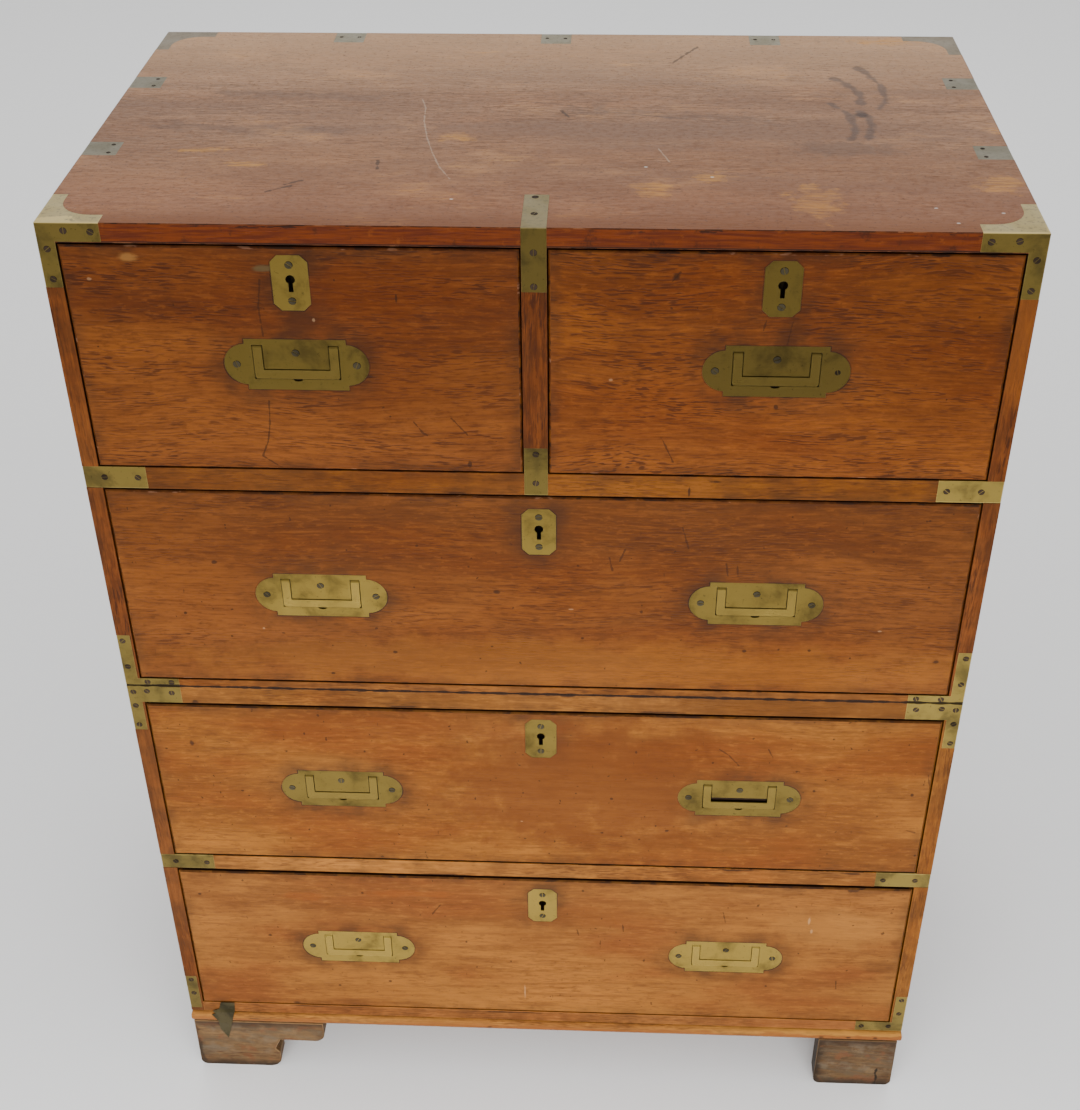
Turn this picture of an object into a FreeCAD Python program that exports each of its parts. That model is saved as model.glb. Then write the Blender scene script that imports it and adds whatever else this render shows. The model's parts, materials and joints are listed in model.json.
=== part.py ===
"""Two-part campaign chest of drawers with flush brass handles, inlaid corner brackets and bracket feet.

The chest stands on the floor (Z = 0) with its front facing -Y and its middle on the Z axis.
All sizes are in millimetres and live in the spreadsheet "Sizes"; every piece is bound to it.
"""

import FreeCAD, Part
import Sketcher
import math
import os
import re

SIZES = [
    # The two cases
    ("case_width", 787.0, "outside width of both cases"),
    ("case_depth", 464.0, "outside depth of both cases"),
    ("side_thick", 14.5, "thickness of the case sides"),
    ("back_thick", 9.0, "thickness of the back boards"),
    ("top_board", 17.0, "thickness of the top"),
    ("upper_rail", 22.0, "rail under the short drawers"),
    ("upper_bottom", 8.5, "bottom board of the upper case"),
    ("lower_top", 20.8, "top board of the lower case"),
    ("lower_rail", 19.7, "rail between the two lowest drawers"),
    ("lower_bottom", 14.5, "bottom board of the lower case"),
    ("rail_depth", 56.0, "front to back size of rails and divider"),
    ("divider_width", 20.6, "upright between the short drawers"),
    ("divider_offset", -1.9, "its middle, from the middle of the chest"),
    ("runner_width", 22.0, "drawer runners along the sides"),
    ("centre_runner", 60.0, "runner behind the divider"),
    ("guide_height", 14.0, "guide on the centre runner"),
    ("stop_length", 34.0, "small blocks that stop each drawer"),
    ("stop_depth", 12.0, "front to back size of a stop"),
    ("stop_height", 3.6, "height of a stop above its rail"),
    ("stop_inset", 150.0, "stop's middle, from the end of its opening"),
    ("peg_radius", 5.5, "eight-sided locating pegs between the cases, to their corners"),
    ("peg_stand", 7.0, "how far a peg stands up"),
    ("peg_sunk", 11.0, "how far a peg goes into the lower case"),
    ("peg_inset", 60.0, "peg's middle, from the outside of the case"),
    ("peg_gap", 0.4, "clearance round a peg in the upper case"),
    # Base moulding and feet
    ("moulding_height", 18.0, "height of the base moulding"),
    ("moulding_proud", 2.0, "how far it stands out from the case"),
    ("moulding_width", 48.0, "its size across, under the case"),
    ("moulding_round", 7.0, "rounding of its nose"),
    ("foot_height", 76.0, "height of the bracket feet"),
    ("foot_thick", 22.0, "thickness of the bracket boards"),
    ("foot_width", 93.0, "width of a foot without its wing"),
    ("foot_toe_round", 14.0, "round inner toe of a bracket"),
    ("foot_heel_round", 8.0, "round outer corner of a bracket"),
    ("neck_in", 88.0, "notch between toe and wing, from the outside"),
    ("neck_low", 46.0, "notch, below the moulding"),
    ("toe_top", 52.0, "top of the toe, below the moulding"),
    ("wing_reach", 146.0, "far end of the wing, from the outside"),
    ("wing_drop", 30.0, "depth of the wing below the moulding"),
    ("wing_root", 95.0, "inner end of the wing's underside"),
    ("wing_round", 12.0, "round end of the wing"),
    ("plain_foot_width", 86.6, "front right foot, which has lost its wing"),
    ("plain_foot_inset", 2.4, "set in of that foot from the side"),
    ("glue_block", 30.0, "corner block inside each foot"),
    ("glue_block_lift", 6.0, "how far a corner block ends above the floor"),
    # Drawers
    ("opening_short", 208.5, "height of the short drawers' openings"),
    ("opening_upper", 215.0, "height of the upper case's long opening"),
    ("opening_middle", 206.0, "height of the lower case's upper opening"),
    ("opening_lower", 212.3, "height of the lowest opening"),
    ("gap_short", 2.0, "gap above the short drawers"),
    ("gap_upper", 2.4, "gap above the upper long drawer"),
    ("gap_middle", 3.6, "gap above the middle long drawer"),
    ("gap_lower", 5.0, "gap above the lowest drawer"),
    ("side_gap", 1.0, "gap at each side of a drawer"),
    ("running_gap", 0.3, "gap under a drawer, on its runners"),
    ("front_set_back", 0.5, "drawer fronts, behind the case's front"),
    ("front_thick", 20.0, "thickness of a drawer front"),
    ("front_arris", 1.4, "bevelled arris of a drawer front"),
    ("back_space", 24.5, "room between a drawer and the back board"),
    ("drawer_side", 9.0, "thickness of a drawer's sides"),
    ("drawer_back", 9.0, "thickness of a drawer's back"),
    ("side_drop", 3.0, "drawer sides, below the top of the front"),
    ("back_drop", 14.0, "drawer back, below the top of the front"),
    ("panel_thick", 6.0, "thickness of a drawer bottom"),
    ("panel_lift", 5.0, "drawer bottom, above the drawer's lower edge"),
    ("groove_depth", 4.0, "groove that holds the drawer bottom"),
    ("tail_length", 13.0, "length of the lapped dovetails"),
    ("tail_flare", 2.6, "slope of a dovetail at each side"),
    ("tail_share", 0.62, "widest part of a tail, as a share of its pitch"),
    ("tail_count", 4.0, "dovetails at each corner"),
    # Flush handles
    ("plate_length", 120.0, "handle plate, end to end"),
    ("plate_height", 46.8, "height of its middle"),
    ("plate_middle", 83.8, "width of its middle"),
    ("plate_end", 38.0, "height of its round ends"),
    ("plate_thick", 2.0, "thickness of the handle plate"),
    ("bail_width", 70.4, "handle bail, outside"),
    ("bail_leg", 7.7, "width of the bail's legs"),
    ("bail_bar", 8.3, "width of the bail's grip"),
    ("bail_thick", 5.0, "thickness of the bail"),
    ("bail_proud", 0.6, "how far the bail stands out of its plate"),
    ("bail_low", -13.0, "underside of the grip, from the plate's middle"),
    ("bail_high", 17.3, "top of the legs, from the plate's middle"),
    ("bail_corner", 1.6, "bevelled outer corners of the grip"),
    ("bail_top_bevel", 1.5, "bevelled tops of the legs, which turn in the plate"),
    ("slot_gap", 0.5, "gap between bail and plate"),
    ("notch_radius", 5.0, "finger notch under the grip"),
    ("pin_radius", 1.2, "bail pivots"),
    ("pin_gap", 0.1, "clearance round a pivot"),
    ("pin_reach", 4.0, "how far a pivot goes into its ear"),
    ("pin_root", 1.0, "how far a pivot goes into the bail"),
    ("ear_width", 5.0, "ears behind the plate"),
    ("ear_half", 3.5, "half the height of an ear"),
    ("ear_wall", 1.5, "brass behind a pivot"),
    ("pocket_depth", 7.5, "pocket in the wood behind the bail"),
    ("pocket_gap", 0.4, "room round the ears in the pocket"),
    ("handle_left", -197.5, "left row of handles, from the chest's middle"),
    ("handle_right", 194.0, "right row of handles"),
    ("handle_rise_short", 101.6, "handle's middle above the short drawers' lower edge"),
    ("handle_rise_upper", 101.8, "the same on the upper long drawer"),
    ("handle_rise_middle", 97.6, "the same on the middle long drawer"),
    ("handle_rise_lower", 97.4, "the same on the lowest drawer"),
    # Escutcheons and locks
    ("scutcheon_width", 30.0, "width of a keyhole plate"),
    ("scutcheon_height", 48.4, "its height"),
    ("scutcheon_thick", 1.6, "its thickness"),
    ("scutcheon_clip", 6.0, "its clipped corners"),
    ("scutcheon_drop_short", 30.9, "its middle, below the short drawers' top edge"),
    ("scutcheon_drop_upper", 36.4, "the same on the upper long drawer"),
    ("scutcheon_drop_middle", 32.3, "the same on the middle long drawer"),
    ("scutcheon_drop_lower", 37.4, "the same on the lowest drawer"),
    ("keyhole_radius", 3.9, "round part of the keyhole"),
    ("keyhole_rise", 3.1, "its middle, above the plate's middle"),
    ("keyhole_slot", 3.6, "width of the keyhole's slot"),
    ("keyhole_low", 7.9, "foot of the slot, below the plate's middle"),
    ("lock_width", 58.0, "width of a lock case"),
    ("lock_height", 58.0, "height of a lock case"),
    ("lock_depth", 12.0, "depth of a lock case"),
    ("lock_wall", 2.2, "walls of a lock case"),
    ("bolt_width", 26.0, "width of a lock bolt"),
    ("bolt_thick", 6.0, "thickness of a lock bolt"),
    ("bolt_length", 26.0, "length of a lock bolt"),
    ("bolt_sunk", 0.5, "drawn bolt, below the drawer's top edge"),
    ("bolt_gap", 0.3, "clearance round a bolt"),
    ("bolt_travel", 10.0, "throw of a bolt"),
    ("mortise_spare", 1.0, "room beyond a thrown bolt"),
    # Inlaid brass on the cases
    ("brass_thick", 1.6, "thickness of brackets and straps"),
    ("bracket_arm", 51.5, "length of a bracket along the edge"),
    ("bracket_leg", 56.0, "height of a bracket's leg"),
    ("top_arm_height", 16.2, "height of the arm at the top"),
    ("cap_front", 15.7, "width of the cap along the front"),
    ("cap_side", 13.0, "width of the cap along the side"),
    ("cap_reach", 55.0, "length of the cap along the side"),
    ("cap_round", 27.5, "hollow curve inside the cap"),
    ("split_leg_width", 12.5, "width of the legs at the split and the base"),
    ("split_leg", 60.0, "height of the upper case's lower legs"),
    ("base_leg", 57.0, "height of the legs at the base"),
    ("base_leg_lost", 5.0, "how far the torn left bracket starts above the base"),
    ("rail_strap", 55.0, "length of the straps on the rails"),
    ("centre_strap", 20.2, "width of the middle straps"),
    ("centre_strap_top", 64.0, "middle strap, back along the top"),
    ("centre_strap_front", 55.0, "middle strap, down the front"),
    ("joint_strap", 47.5, "height of the strap at the divider's foot"),
    ("edge_strap", 30.0, "length and width of the straps on the top's edges"),
    ("edge_strap_left_a", 137.5, "left edge straps, from the front"),
    ("edge_strap_left_b", 301.0, "second left edge strap"),
    ("edge_strap_right_a", 146.0, "right edge straps, from the front"),
    ("edge_strap_right_b", 313.0, "second right edge strap"),
    ("edge_strap_back", 206.0, "outer straps on the back edge, from the middle"),
    # Carrying handles on the sides
    ("carry_rise_upper", 285.0, "carrying handles above the split"),
    ("carry_rise_lower", 300.0, "carrying handles above the base moulding"),
]
ALIASES = {alias for alias, number, note in SIZES}

doc = FreeCAD.newDocument("CampaignChest")
sheet = doc.addObject("Spreadsheet::Sheet", "Sizes")
for row, (alias, number, note) in enumerate(SIZES, 1):
    sheet.set(f"A{row}", note)
    sheet.set(f"B{row}", str(number))
    sheet.setAlias(f"B{row}", alias)
doc.recompute()

X_AXIS = FreeCAD.Vector(1, 0, 0)
Y_AXIS = FreeCAD.Vector(0, 1, 0)
Z_AXIS = FreeCAD.Vector(0, 0, 1)

# Small round forms that repeat are facetted, to keep the model light
PLATE_SIDES = 24
KEYHOLE_SIDES = 12
NOTCH_SIDES = 12
PEG_SIDES = 8
PIN_SIDES = 8

# Places that several pieces share, worked out from the sizes
FRONT = "(moulding_proud - case_depth) / 2"
BACK = "(moulding_proud + case_depth) / 2"
LEFT = "-case_width / 2"
INSIDE = "(case_width / 2 - side_thick)"
BASE = "foot_height + moulding_height"
FLOOR_LOWER = BASE + " + lower_bottom"
LOWER_RAIL = FLOOR_LOWER + " + opening_lower"
FLOOR_MIDDLE = LOWER_RAIL + " + lower_rail"
LOWER_TOP = FLOOR_MIDDLE + " + opening_middle"
SPLIT = LOWER_TOP + " + lower_top"
FLOOR_UPPER = SPLIT + " + upper_bottom"
UPPER_RAIL = FLOOR_UPPER + " + opening_upper"
FLOOR_SHORT = UPPER_RAIL + " + upper_rail"
UPPER_TOP = FLOOR_SHORT + " + opening_short"
TOP = UPPER_TOP + " + top_board"
DRAWER_DEPTH = "(case_depth - front_set_back - back_space - back_thick)"


def formula(text):
    """The expression with the sheet's name in front of each of its sizes."""
    return re.sub(r"[a-z][a-z_]*", lambda word: "Sizes." + word[0] if word[0] in ALIASES else word[0], text)


def size(alias):
    """A size as a plain number, for what has no expression."""
    return float(sheet.get(alias))


def bind(piece, **sizes):
    for name, text in sizes.items():
        piece.setExpression(name, formula(text))
    return piece


def place(piece, x="0", y="0", z="0", turn=0.0, axis=Z_AXIS):
    """Put a piece where three expressions say, turned about one axis."""
    piece.Placement = FreeCAD.Placement(FreeCAD.Vector(), FreeCAD.Rotation(axis, turn))
    for letter, text in zip("xyz", (x, y, z)):
        piece.setExpression(f".Placement.Base.{letter}", formula(text))
    return piece


def block(name, x, y, z, length, width, height):
    """A squared board: its lowest corner and its size along X, Y and Z."""
    board = doc.addObject("Part::Box", name)
    bind(board, Length=length, Width=width, Height=height)
    return place(board, x, y, z)


def rod(name, x, y, z, radius, length):
    """A round bar that starts at x, y, z and runs along +Z."""
    bar = doc.addObject("Part::Cylinder", name)
    bind(bar, Radius=radius, Height=length)
    return place(bar, x, y, z)


def facetted(name, x, y, z, radius, length, sides, axis=Z_AXIS, turn=0.0):
    """A bar along +Z, or along what the turn makes of it, with flats: its radius runs to their corners."""
    bar = doc.addObject("Part::Prism", name)
    bar.Polygon = sides
    bind(bar, Circumradius=radius, Height=length)
    return place(bar, x, y, z, turn, axis)


def join(name, pieces):
    """Several solids that are really one."""
    whole = doc.addObject("Part::MultiFuse", name)
    whole.Shapes = pieces
    whole.Refine = True
    return whole


def cut(name, base, tool):
    rest = doc.addObject("Part::Cut", name)
    rest.Base = base
    rest.Tool = tool
    return rest


def group(name, pieces):
    """Separate solids that are handled together."""
    whole = doc.addObject("Part::Compound", name)
    whole.Links = pieces
    return whole


def mirror(name, piece, axis, base="0"):
    """The piece's twin on the other side of a plane across one axis."""
    twin = doc.addObject("Part::Mirroring", name)
    twin.Source = piece
    twin.Normal = axis
    letter = {(1, 0): "x", (0, 1): "y"}[(axis.x, axis.y)]
    twin.setExpression(f"Base.{letter}", formula(base))
    return twin


def origin_part(body, role):
    """One of the body's own planes or axes."""
    return next(part for part in body.Origin.OriginFeatures if part.Role == role)


def outline(body, name, role, corners):
    """A closed sketch on one of the body's own planes, each corner bound to the sheet."""
    sketch = body.newObject("Sketcher::SketchObject", name)
    sketch.AttachmentSupport = [(origin_part(body, role), "")]
    sketch.MapMode = "FlatFace"
    count = len(corners)
    turns = [2 * math.pi * number / count for number in range(count)]
    start = [FreeCAD.Vector(math.cos(turn), math.sin(turn), 0) for turn in turns]
    for number in range(count):
        sketch.addGeometry(Part.LineSegment(start[number], start[(number + 1) % count]), False)
    for number in range(count):
        sketch.addConstraint(Sketcher.Constraint("Coincident", number, 2, (number + 1) % count, 1))
    for number, (across_text, up_text) in enumerate(corners):
        wanted = (("DistanceX", across_text, start[number].x), ("DistanceY", up_text, start[number].y))
        for kind, text, first in wanted:
            entry = sketch.addConstraint(Sketcher.Constraint(kind, -1, 1, number, 1, first))
            sketch.setExpression(f"Constraints[{entry}]", formula(text))
    return sketch


def pad(body, name, sketch, length, reverse=False):
    """The sketch as a solid; reverse takes it to the other side of its plane."""
    feature = body.newObject("PartDesign::Pad", name)
    feature.Profile = sketch
    feature.Reversed = reverse
    bind(feature, Length=length)
    sketch.Visibility = False
    doc.recompute()
    return feature


def dress(body, kind, name, base, wanted, **sizes):
    """A fillet or chamfer on the edges of a feature that the test picks."""
    edges = [f"Edge{number}" for number, edge in enumerate(base.Shape.Edges, 1) if wanted(edge)]
    feature = body.newObject("PartDesign::" + kind, name)
    feature.Base = (base, edges)
    bind(feature, **sizes)
    doc.recompute()
    return feature


def soften(body, name, base, radius, wanted):
    """Round the edges of a feature that the test picks."""
    return dress(body, "Fillet", name, base, wanted, Radius=radius)


def bevel(body, name, base, width, wanted):
    """Bevel the edges of a feature that the test picks."""
    return dress(body, "Chamfer", name, base, wanted, Size=width)


def middle_of(edge):
    return edge.valueAt((edge.FirstParameter + edge.LastParameter) / 2)


def near(first, second):
    return abs(first - second) < 0.01


# ---------------------------------------------------------------- flush handles


PIN_HOLE = f"(pin_radius + pin_gap) / cos(180deg / {PIN_SIDES})"


def flush_handle(tag, at, bail_at, turn=0.0):
    """Plate, the recess it needs in the wood, and its pivoting bail.

    The handle is made with its plate's middle at the origin and its face towards -Y.
    """
    reach = "(plate_length - plate_end) / 2"
    half = "bail_width / 2"
    pivot_up = "(bail_high - bail_thick / 2)"
    pivot_in = "(bail_thick / 2 - bail_proud)"

    middle = block(tag + "_plate_middle", "-plate_middle / 2", "0", "-plate_height / 2",
                   "plate_middle", "plate_thick", "plate_height")
    bar = block(tag + "_plate_bar", "-" + reach, "0", "-plate_end / 2",
                "plate_length - plate_end", "plate_thick", "plate_end")
    ends = [facetted(f"{tag}_plate_end_{side}", sign + reach, "0", "0", "plate_end / 2", "plate_thick",
                     PLATE_SIDES, X_AXIS, -90)
            for side, sign in (("left", "-"), ("right", ""))]
    shape = join(tag + "_plate_outline", [middle, bar] + ends)

    ear_depth = pivot_in + " + pin_radius + ear_wall - plate_thick"
    ears = [block(f"{tag}_ear_{side}", x, "plate_thick", pivot_up + " - ear_half",
                  "ear_width", ear_depth, "2 * ear_half")
            for side, x in (("left", f"-{half} - slot_gap - ear_width"), ("right", half + " + slot_gap"))]
    casting = join(tag + "_plate_casting", [shape] + ears)

    well = block(tag + "_slot_outside", f"-{half} - slot_gap", "0", "bail_low - slot_gap",
                 "bail_width + 2 * slot_gap", "plate_thick", "bail_high - bail_low + 2 * slot_gap")
    tongue = block(tag + "_slot_tongue", f"-{half} + bail_leg + slot_gap", "0",
                   "bail_low + bail_bar + slot_gap", "bail_width - 2 * bail_leg - 2 * slot_gap",
                   "plate_thick", "bail_high - bail_low - bail_bar")
    slot = cut(tag + "_slot", well, tongue)
    notch = facetted(tag + "_notch", "0", "0", "bail_low - slot_gap", "notch_radius", "plate_thick",
                     NOTCH_SIDES, X_AXIS, -90)
    holes = [facetted(f"{tag}_pin_hole_{side}", x, pivot_in, pivot_up, PIN_HOLE, "slot_gap + pin_reach",
                      PIN_SIDES, Y_AXIS, 90)
             for side, x in (("left", f"-{half} - slot_gap - pin_reach"), ("right", half))]
    plate = cut(tag + "_plate", casting, join(tag + "_plate_openings", [slot, notch] + holes))
    place(plate, *at, turn)

    room = "slot_gap + ear_width + pocket_gap"
    pocket = cut(tag + "_pocket",
                 block(tag + "_pocket_outside", f"-{half} - ({room})", "0", "bail_low - 2 * slot_gap",
                       f"bail_width + 2 * ({room})", "pocket_depth",
                       f"{pivot_up} + ear_half + pocket_gap - bail_low + 2 * slot_gap"),
                 block(tag + "_pocket_island", f"-{half} + bail_leg + 2 * slot_gap", "0",
                       "bail_low + bail_bar + 2 * slot_gap", "bail_width - 2 * bail_leg - 4 * slot_gap",
                       "pocket_depth", "plate_height"))
    recess = join(tag + "_recess", [shape, pocket])
    place(recess, *at, turn)

    body = doc.addObject("PartDesign::Body", tag + "_bail_body")
    inner = f"({half} - bail_leg)"
    grip = "bail_low + bail_bar"
    corners = [("-" + half, "bail_high"), ("-" + half, "bail_low"), (half, "bail_low"), (half, "bail_high"),
               (inner, "bail_high"), (inner, grip), ("-" + inner, grip), ("-" + inner, "bail_high")]
    blank = pad(body, tag + "_bail_pad", outline(body, tag + "_bail_sketch", "XZ_Plane", corners),
                "bail_thick", reverse=True)
    low, high, out = size("bail_low"), size("bail_high"), size("bail_width") / 2
    grip_end = bevel(body, tag + "_bail_grip", blank, "bail_corner",
                     lambda edge: near(middle_of(edge).z, low) and near(abs(middle_of(edge).x), out))
    bevel(body, tag + "_bail_tops", grip_end, "bail_top_bevel",
          lambda edge: near(middle_of(edge).z, high) and near(edge.Length, size("bail_leg")))
    place(body, y="-bail_proud")
    pins = [facetted(f"{tag}_pin_{side}", x, pivot_in, pivot_up, "pin_radius", "pin_root + pin_reach",
                     PIN_SIDES, Y_AXIS, 90)
            for side, x in (("left", f"-{half} - pin_reach"), ("right", half + " - pin_root"))]
    bail = join(tag + "_bail", [body] + pins)
    place(bail, *bail_at, turn)
    return plate, recess, bail


# ---------------------------------------------------------------- drawers


def keyhole(tag, up, depth):
    """Round hole with a slot below, from the front face inwards; the escutcheon's middle is at up."""
    eye = facetted(tag + "_keyhole_eye", "0", "0", f"{up} + keyhole_rise", "keyhole_radius", depth,
                   KEYHOLE_SIDES, X_AXIS, -90)
    slot = block(tag + "_keyhole_slot", "-keyhole_slot / 2", "0", f"{up} - keyhole_low",
                 "keyhole_slot", depth, "keyhole_low + keyhole_rise")
    return join(tag + "_keyhole", [eye, slot])


def drawer(tag, row, floor, centre, width, handles):
    """One drawer, made with the middle of its front's lower edge at the origin, then put in its opening."""
    height = f"(opening_{row} - gap_{row} - running_gap)"
    at = (centre, FRONT + " + front_set_back", floor + " + running_gap")
    half = f"({width}) / 2"

    panel = block(tag + "_bottom", f"-{half} + drawer_side - groove_depth", "front_thick - groove_depth",
                  "panel_lift", f"{width} - 2 * drawer_side + 2 * groove_depth",
                  DRAWER_DEPTH + " - front_thick + groove_depth", "panel_thick")
    back = block(tag + "_back", f"-{half} + drawer_side", DRAWER_DEPTH + " - drawer_back",
                 "panel_lift + panel_thick", f"{width} - 2 * drawer_side", "drawer_back",
                 f"{height} - back_drop - panel_lift - panel_thick")

    body = doc.addObject("PartDesign::Body", tag + "_side_body")
    rim = f"{height} - side_drop"
    corners = [("front_thick", "0"), (DRAWER_DEPTH, "0"), (DRAWER_DEPTH, rim), ("front_thick", rim)]
    pad(body, tag + "_side_pad", outline(body, tag + "_side_sketch", "YZ_Plane", corners), "drawer_side")
    pitch = f"(({rim}) / tail_count)"
    tail_low = f"{pitch} * (1 - tail_share) / 2"
    tail_high = f"{pitch} * (1 + tail_share) / 2"
    tip = "front_thick - tail_length"
    corners = [("front_thick", tail_low + " + tail_flare"), (tip, tail_low), (tip, tail_high),
               ("front_thick", tail_high + " - tail_flare")]
    tail = pad(body, tag + "_tail", outline(body, tag + "_tail_sketch", "YZ_Plane", corners), "drawer_side")
    tails = body.newObject("PartDesign::LinearPattern", tag + "_tails")
    tails.Originals = [tail]
    tails.Direction = (origin_part(body, "Z_Axis"), [""])
    tails.Occurrences = int(size("tail_count"))
    bind(tails, Length=f"{pitch} * (tail_count - 1)")
    body.Tip = tails
    place(body, x="-" + half)
    left = cut(tag + "_side_left", body, panel)
    right = mirror(tag + "_side_right", left, X_AXIS)
    box = group(tag + "_box", [left, right, back, panel])
    place(box, *at)

    plates, recesses, bails = [], [], []
    for side, x in handles:
        name = f"{tag}_{side}" if side else tag
        spot = (f"{x} - ({centre})", "0", f"handle_rise_{row}")
        world = (x, at[1], f"{at[2]} + handle_rise_{row}")
        plate, recess, bail = flush_handle(name, spot, world)
        bail.Label = f"{name}_bail"
        plates.append(plate)
        recesses.append(recess)
        bails.append(bail)

    eye = f"{height} - scutcheon_drop_{row}"
    scutcheon_body = doc.addObject("PartDesign::Body", tag + "_scutcheon_body")
    wide, tall = "scutcheon_width / 2", "scutcheon_height / 2"
    corners = []
    clipped = (("", "", True), ("-", "", False), ("-", "-", True), ("", "-", False))
    for across_sign, up_sign, clip_first in clipped:
        flat_end = (f"{across_sign}({wide} - scutcheon_clip)", f"{up_sign}({tall})")
        side_end = (f"{across_sign}({wide})", f"{up_sign}({tall} - scutcheon_clip)")
        corners += [side_end, flat_end] if clip_first else [flat_end, side_end]
    sketch = outline(scutcheon_body, tag + "_scutcheon_sketch", "XZ_Plane", corners)
    pad(scutcheon_body, tag + "_scutcheon_pad", sketch, "scutcheon_thick", reverse=True)
    place(scutcheon_body, z=eye)
    key_way = keyhole(tag, eye, "front_thick - lock_depth + lock_wall")
    scutcheon = cut(tag + "_scutcheon", scutcheon_body, key_way)

    shell = block(tag + "_lock_shell", "-lock_width / 2", "front_thick - lock_depth",
                  f"{height} - lock_height", "lock_width", "lock_depth", "lock_height")
    bolt_in = "front_thick - lock_depth / 2 - bolt_thick / 2"
    room = block(tag + "_lock_room", "-bolt_width / 2 - bolt_gap", bolt_in + " - bolt_gap",
                 f"{height} - lock_height + lock_wall", "bolt_width + 2 * bolt_gap",
                 "bolt_thick + 2 * bolt_gap", "lock_height - lock_wall")
    lock = cut(tag + "_lock_case", shell, join(tag + "_lock_openings", [room, key_way]))
    fittings = group(tag + "_fittings", plates + [scutcheon, lock])
    place(fittings, *at)

    bolt = block(tag + "_bolt", "-bolt_width / 2", bolt_in, f"{height} - bolt_sunk - bolt_length",
                 "bolt_width", "bolt_thick", "bolt_length")
    bolt_node = group(tag + "_lock_bolt", [bolt])
    place(bolt_node, *at)

    front_body = doc.addObject("PartDesign::Body", tag + "_front_body")
    corners = [("-" + half, "0"), (half, "0"), (half, height), ("-" + half, height)]
    slab = pad(front_body, tag + "_front_pad",
               outline(front_body, tag + "_front_sketch", "XZ_Plane", corners), "front_thick", reverse=True)
    bevel(front_body, tag + "_front_arris", slab, "front_arris", lambda edge: near(middle_of(edge).y, 0))
    joinery = join(tag + "_joinery", [left, right, panel])
    metal = join(tag + "_metal", recesses + [scutcheon_body, shell, key_way])
    front = cut(tag + "_front", front_body, group(tag + "_front_cuts", [joinery, metal]))
    place(front, *at)

    mortise = block(tag + "_mortise", f"{centre} - bolt_width / 2 - bolt_gap",
                    f"{at[1]} + {bolt_in} - bolt_gap", f"{floor} + opening_{row}",
                    "bolt_width + 2 * bolt_gap", "bolt_thick + 2 * bolt_gap",
                    f"bolt_travel - bolt_sunk - gap_{row} + mortise_spare")
    return {"nodes": [front, box, fittings, bolt_node] + bails, "mortise": mortise}


# ---------------------------------------------------------------- inlaid brass


def corner_bracket(name, edge, up, arm_height, leg_width, leg, capped=False):
    """Left front bracket round the corner: an L on the front, an L on the side and, on top, a cap."""
    low = edge if up else f"{edge} - {arm_height}"
    leg_low = edge if up else f"{edge} - {leg}"
    pieces = [
        block(name + "_front_arm", LEFT, FRONT, low, "bracket_arm", "brass_thick", arm_height),
        block(name + "_side_arm", LEFT, FRONT, low, "brass_thick", "bracket_arm", arm_height),
        block(name + "_front_leg", LEFT, FRONT, leg_low, leg_width, "brass_thick", leg),
        block(name + "_side_leg", LEFT, FRONT, leg_low, "brass_thick", leg_width, leg),
    ]
    if capped:
        floor = f"{edge} - brass_thick"
        web = cut(name + "_cap_web",
                  block(name + "_cap_square", f"{LEFT} + cap_side", f"{FRONT} + cap_front", floor,
                        "cap_round", "cap_round", "brass_thick"),
                  rod(name + "_cap_hollow", f"{LEFT} + cap_side + cap_round",
                      f"{FRONT} + cap_front + cap_round", floor, "cap_round", "brass_thick"))
        pieces += [
            block(name + "_cap_front", LEFT, FRONT, floor, "bracket_arm", "cap_front", "brass_thick"),
            block(name + "_cap_side", LEFT, FRONT, floor, "cap_side", "cap_reach", "brass_thick"),
            web,
        ]
    return join(name, pieces)


def four_corners(name, bracket):
    """The bracket and its twins at the right and at the back."""
    right = mirror(name + "_front_right", bracket, X_AXIS)
    back = [mirror(f"{name}_back_{side}", piece, Y_AXIS, "moulding_proud / 2")
            for side, piece in (("left", bracket), ("right", right))]
    return [bracket, right] + back


def rail_strap(name, low, height):
    """Straps at both ends of a rail, each round its corner."""
    left = join(name + "_left", [
        block(name + "_face", LEFT, FRONT, low, "rail_strap", "brass_thick", height),
        block(name + "_flank", LEFT, FRONT, low, "brass_thick", "rail_strap", height)])
    return [left, mirror(name + "_right", left, X_AXIS)]


def edge_strap(name, x, y, along, down):
    """A strap on the top that folds down over its edge."""
    flat = block(name + "_flat", x, y, TOP + " - brass_thick", "edge_strap", "edge_strap", "brass_thick")
    return join(name, [flat, block(name + "_fold", *down, TOP + " - edge_strap", *along, "edge_strap")])


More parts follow.
